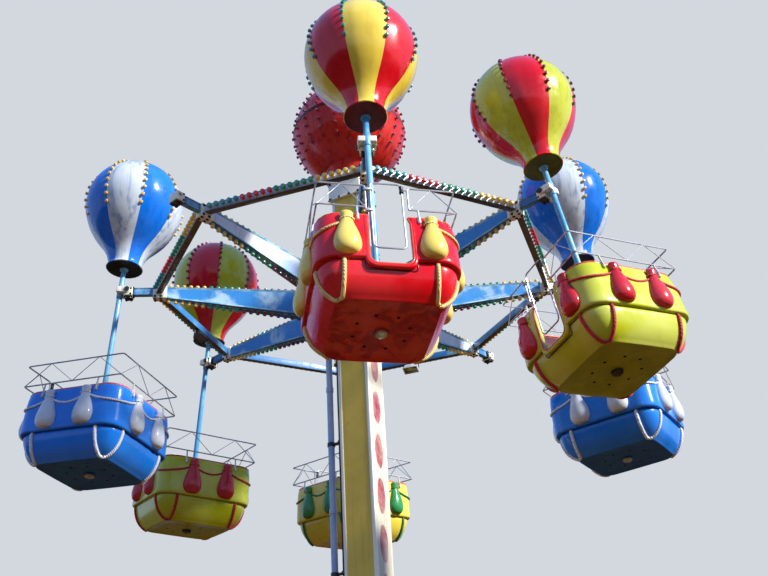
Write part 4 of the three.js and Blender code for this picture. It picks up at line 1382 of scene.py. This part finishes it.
class RIDE_OT_hangers(bpy.types.Operator):
    """Build the gondolas' poles with their yokes and swing pins"""

    bl_idname = "ride.hangers"
    bl_label = "Poles and yokes"

    def execute(self, context):
        pole = make_hanger()
        for arm, look in GONDOLAS.items():
            cap = "dark_steel" if look["body"] == "lime" else "bright_steel"
            hang_copy(pole, f"pole_{arm}", hanger_frame(arm), f"swing_{arm}", "pole_blue", f"hanger_{arm}",
                      materials=["pole_paint", "cream", "dark_steel", cap])
        discard(pole)
        return {"FINISHED"}


class RIDE_OT_baskets(bpy.types.Operator):
    """Build the baskets: moulding, doorway lip, rim bead, bench, sandbags and ropes"""

    bl_idname = "ride.baskets"
    bl_label = "Baskets"

    def execute(self, context):
        sizes = context.scene.ride_sizes
        shell, inside, lip, trim = make_shell(), make_inside(), make_lip(), make_trim()
        bags, ropes = make_bags(), make_ropes(sizes)
        for arm, look in GONDOLAS.items():
            place, car, slot = basket_frame(arm), f"car_{arm}", look["slot"]
            rope = look["bags"].replace("bag", "rope")
            hang_copy(shell, f"basket_shell_{arm}", place, car, slot, f"basket_{arm}",
                      materials=[look["body"], look["inside"]])
            hang_copy(inside, f"bench_{arm}", place, car, materials=[look["inside"]])
            # The lip's second material, the mouth colour, paints the shadow line under it.
            hang_copy(lip, f"doorway_lip_{arm}", place, car, slot, materials=[look["body"], look["mouth"]])
            hang_copy(trim, f"rim_bead_{arm}", place, car, materials=[look["trim"]])
            hang_copy(bags, f"sandbags_{arm}", place, car, materials=[look["bags"]])
            hang_copy(ropes, f"ropes_{arm}", place, car, materials=[rope])
        discard(shell, inside, lip, trim, bags, ropes)
        return {"FINISHED"}


class RIDE_OT_rails(bpy.types.Operator):
    """Build the wire guard rails and the doorway gates"""

    bl_idname = "ride.rails"
    bl_label = "Rails and gates"

    def execute(self, context):
        sizes = context.scene.ride_sizes
        rail, gate = make_rail(sizes), make_gate(sizes)
        for arm in GONDOLAS:
            place = basket_frame(arm)
            hang_copy(rail, f"rails_{arm}", place, f"car_{arm}", "bare_wire", f"guard_rail_{arm}")
            hang_copy(gate, f"wire_gate_{arm}", place, f"door_{arm}", "bare_wire", f"gate_{arm}")
        discard(rail, gate)
        return {"FINISHED"}


def lamp_line(groups):
    """The materials of a line of lamps, one after another."""
    return [finish for finish, count in groups for _ in range(count)]


def arm_lamp_places(arm, sizes):
    """Lamps along the top and bottom edges of an arm, from the ring to the hub."""
    place = arm_frame(arm)
    finishes = lamp_line(ARM_LAMPS)
    reach = ARM_END - ARM_ROOT
    places = []
    for near, far, side in ((ARM_HIGH, 0.05, 1), (ARM_LOW, -0.095, -1)):
        run = Vector((reach, 0, far - near)).normalized()
        out = Vector((-run.z, 0, run.x)) * side
        for k, finish in enumerate(finishes):
            x = ARM_LAMPS_FROM - sizes.lamp_pitch * k
            if x < ARM_LAMPS_TO:
                break
            at = Vector((x, 0, near + (far - near) * (x - ARM_ROOT) / reach))
            places.append((place @ aim(out, at, scale=sizes.lamp_scale), finish))
    return places


def tie_lamp_places(arm, sizes):
    """Lamps along the outer face of the tie that follows an arm."""
    place = arm_frame(arm, 0.5)
    finishes = lamp_line(TIE_LAMPS)
    front = TIE_X + 0.0315
    middle = (len(finishes) - 1) / 2
    pitch = sizes.lamp_pitch * 0.94
    return [(place @ aim((1, 0, 0), (front, (k - middle) * pitch, 0), scale=sizes.lamp_scale * 1.2), finish)
            for k, finish in enumerate(finishes)]


class RIDE_OT_arms(bpy.types.Operator):
    """Build the arms with their end caps, bearing blocks and lamps"""

    bl_idname = "ride.arms"
    bl_label = "Arms"

    def execute(self, context):
        template, lamp = make_arm(), make_lamp()
        for arm in range(ARMS):
            beam = hang_copy(template, f"arm_beam_{arm}", arm_frame(arm), "star", "star_blue", f"arm_{arm}")
            # Painted highlight: the arms without gondolas get the paler web paint.
            if arm not in GONDOLAS:
                finishes = beam.data.materials
                finishes[finishes.find("arm_web")] = finish_named("arm_web_pale")
            scatter(f"arm_lamps_{arm}", lamp, arm_lamp_places(arm, context.scene.ride_sizes), "star")
        discard(template, lamp)
        return {"FINISHED"}


class RIDE_OT_ties(bpy.types.Operator):
    """Build the ties with their lamps, and the two floodlights"""

    bl_idname = "ride.ties"
    bl_label = "Ties and floodlights"

    def execute(self, context):
        template, lamp = make_tie(), make_lamp()
        for arm in range(ARMS):
            hang_copy(template, f"tie_beam_{arm}", arm_frame(arm, 0.5), "star", "star_blue", f"tie_{arm}")
            scatter(f"tie_lamps_{arm}", lamp, tie_lamp_places(arm, context.scene.ride_sizes), "star")
        floods = ((7, -0.12, "housing_black", "dark_grey"), (5, 0.0, "housing_white", "cream"))
        for arm, along, shell, slot in floods:
            flood = make_floodlight(along, shell)
            hang_copy(flood, f"flood_{arm}", arm_frame(arm, 0.5), "star", slot, f"floodlight_{arm}")
            discard(flood)
        discard(template, lamp)
        return {"FINISHED"}


class RIDE_OT_hub(bpy.types.Operator):
    """Build the hub drum, and finish the slewing ring"""

    bl_idname = "ride.hub"
    bl_label = "Hub and slewing ring"

    def execute(self, context):
        hang_made(make_hub, "hub_drum", arm_frame(FRONT_ARM), "star", "star_blue", "hub")
        paint_all(frame["nodes"]["slewing_ring"], "bright_steel")
        return {"FINISHED"}


class RIDE_OT_carriage(bpy.types.Operator):
    """Build the carriage that climbs the mast"""

    bl_idname = "ride.carriage"
    bl_label = "Carriage"

    def execute(self, context):
        place = tower_frame(STAR_Z)
        hang_made(make_sleeve, "carriage_body", place, "carriage", "dark_grey", "carriage_sleeve")
        return {"FINISHED"}


class RIDE_OT_tower(bpy.types.Operator):
    """Build the tower: mast edges, head box, crown ball, lift pipe and base plate"""

    bl_idname = "ride.tower"
    bl_label = "Tower"

    def execute(self, context):
        paint_all(frame["nodes"]["mast"], "mast_paint")
        for make, name, *stands_for in ((make_mast_edges, "mast_edge_bands"),
                                        (make_head, "head_box", "cream", "mast_head"),
                                        (make_lift_pipe, "pipe_and_hoses", "pipe_grey", "lift_pipe"),
                                        (make_base, "base_steel", "steel_grey", "base_plate"),
                                        (make_crown, "crown_shell", "crown_red", "crown_ball")):
            hang_made(make, name, tower_frame(), "tower", *stands_for)
        lamp = paint_all(make_lamp(), "lamp_knob", "crown_band")
        scatter("crown_knobs", lamp, crown_knob_places(), "tower")
        discard(lamp)
        return {"FINISHED"}


class RIDE_OT_stage(bpy.types.Operator):
    """Set up the floor, the light and the camera"""

    bl_idname = "ride.stage"
    bl_label = "Stage"

    def light_world(self, scene):
        """A pale backdrop for the camera; for the ride's light a dark lower half and a blue upper one."""
        scene.world = bpy.data.worlds.new("pale_sky")
        scene.world.use_nodes = True
        sky = Nodes(scene.world.node_tree)
        backdrop = sky.tree.nodes["Background"]
        sky.feed(backdrop.inputs["Color"], BACKDROP)
        upward = sky.split(sky.node("TexCoord").outputs["Generated"])["Z"]
        height = sky.node("MapRange", {"Value": upward, "From Min": -1.0})
        tint = sky.node("ValToRGB", {0: height.outputs["Result"]})
        stops = tint.color_ramp.elements
        while len(stops) < len(SURROUNDINGS):
            stops.new(0.5)
        for stop, (at, screen) in zip(stops, SURROUNDINGS):
            stop.position = at
            stop.color = linear(screen)
        light = sky.node("Background", {"Color": tint.outputs[0]})
        seen = sky.node("LightPath").outputs["Is Camera Ray"]
        mix = sky.node("MixShader", {0: seen, 1: light.outputs[0], 2: backdrop.outputs[0]})
        sky.feed(sky.tree.nodes["World Output"].inputs["Surface"], mix.outputs[0])

    def add_sun(self, name, towards, strength, width, colour=(1, 1, 1)):
        bpy.ops.object.light_add(type="SUN", location=Vector(towards) * 15)
        sun = bpy.context.object
        sun.name = name
        sun.rotation_euler = Vector(towards).to_track_quat("Z", "Y").to_euler()
        sun.data.energy = strength
        sun.data.angle = math.radians(width)
        sun.data.color = colour
        return sun

    def execute(self, context):
        scene = context.scene
        scene.view_settings.view_transform = "Standard"
        bpy.ops.mesh.primitive_plane_add(size=FLOOR_SIZE, location=(0, 0, -0.002))
        floor = context.object
        floor.name = "floor"
        apply_place(floor)
        paint_all(floor, "floor_plain")
        floor.visible_glossy = False
        floor.visible_diffuse = False
        self.add_sun("soft_sun", SUN_FROM, strength=6.6, width=6, colour=(1.0, 0.965, 0.92))
        self.add_sun("back_fill", FILL_FROM, strength=1.3, width=60).visible_glossy = False
        self.light_world(scene)
        camera_data = bpy.data.cameras.new("camera")
        camera = bpy.data.objects.new("camera", camera_data)
        scene.collection.objects.link(camera)
        right, up = Vector(CAMERA_RIGHT), Vector(CAMERA_UP)
        camera.matrix_world = frame_of(right, up, right.cross(up), CAMERA_AT)
        camera_data.lens = CAMERA_LENS
        camera_data.clip_end = 200
        scene.camera = camera
        return {"FINISHED"}


PIECES = (RIDE_OT_tower, RIDE_OT_carriage, RIDE_OT_hub, RIDE_OT_arms, RIDE_OT_ties, RIDE_OT_balloons,
          RIDE_OT_hangers, RIDE_OT_baskets, RIDE_OT_rails, RIDE_OT_stage)


class RIDE_PT_panel(bpy.types.Panel):
    """Lists the ride's pieces in the sidebar"""

    bl_idname = "RIDE_PT_panel"
    bl_label = "Balloon tower ride"
    bl_space_type = "VIEW_3D"
    bl_region_type = "UI"
    bl_category = "Ride"

    def draw(self, context):
        layout = self.layout
        for settings in (context.scene.ride_colours, context.scene.ride_sizes):
            for key in type(settings).__annotations__:
                layout.prop(settings, key)
        for piece in PIECES:
            layout.operator(piece.bl_idname)


CLASSES = (RideColours, RideSizes, *PIECES, RIDE_PT_panel)


def register():
    for kind in CLASSES:
        bpy.utils.register_class(kind)
    bpy.types.Scene.ride_colours = bpy.props.PointerProperty(type=RideColours)
    bpy.types.Scene.ride_sizes = bpy.props.PointerProperty(type=RideSizes)


def unregister():
    del bpy.types.Scene.ride_sizes
    del bpy.types.Scene.ride_colours
    for kind in reversed(CLASSES):
        bpy.utils.unregister_class(kind)


def main():
    register()
    make_finishes(bpy.context.scene.ride_colours)
    for piece in PIECES:
        group, name = piece.bl_idname.split(".")
        result = getattr(getattr(bpy.ops, group), name)()
        if result != {"FINISHED"}:
            raise RuntimeError(f"{piece.bl_label} was not finished")


if __name__ == "__main__":
    main()
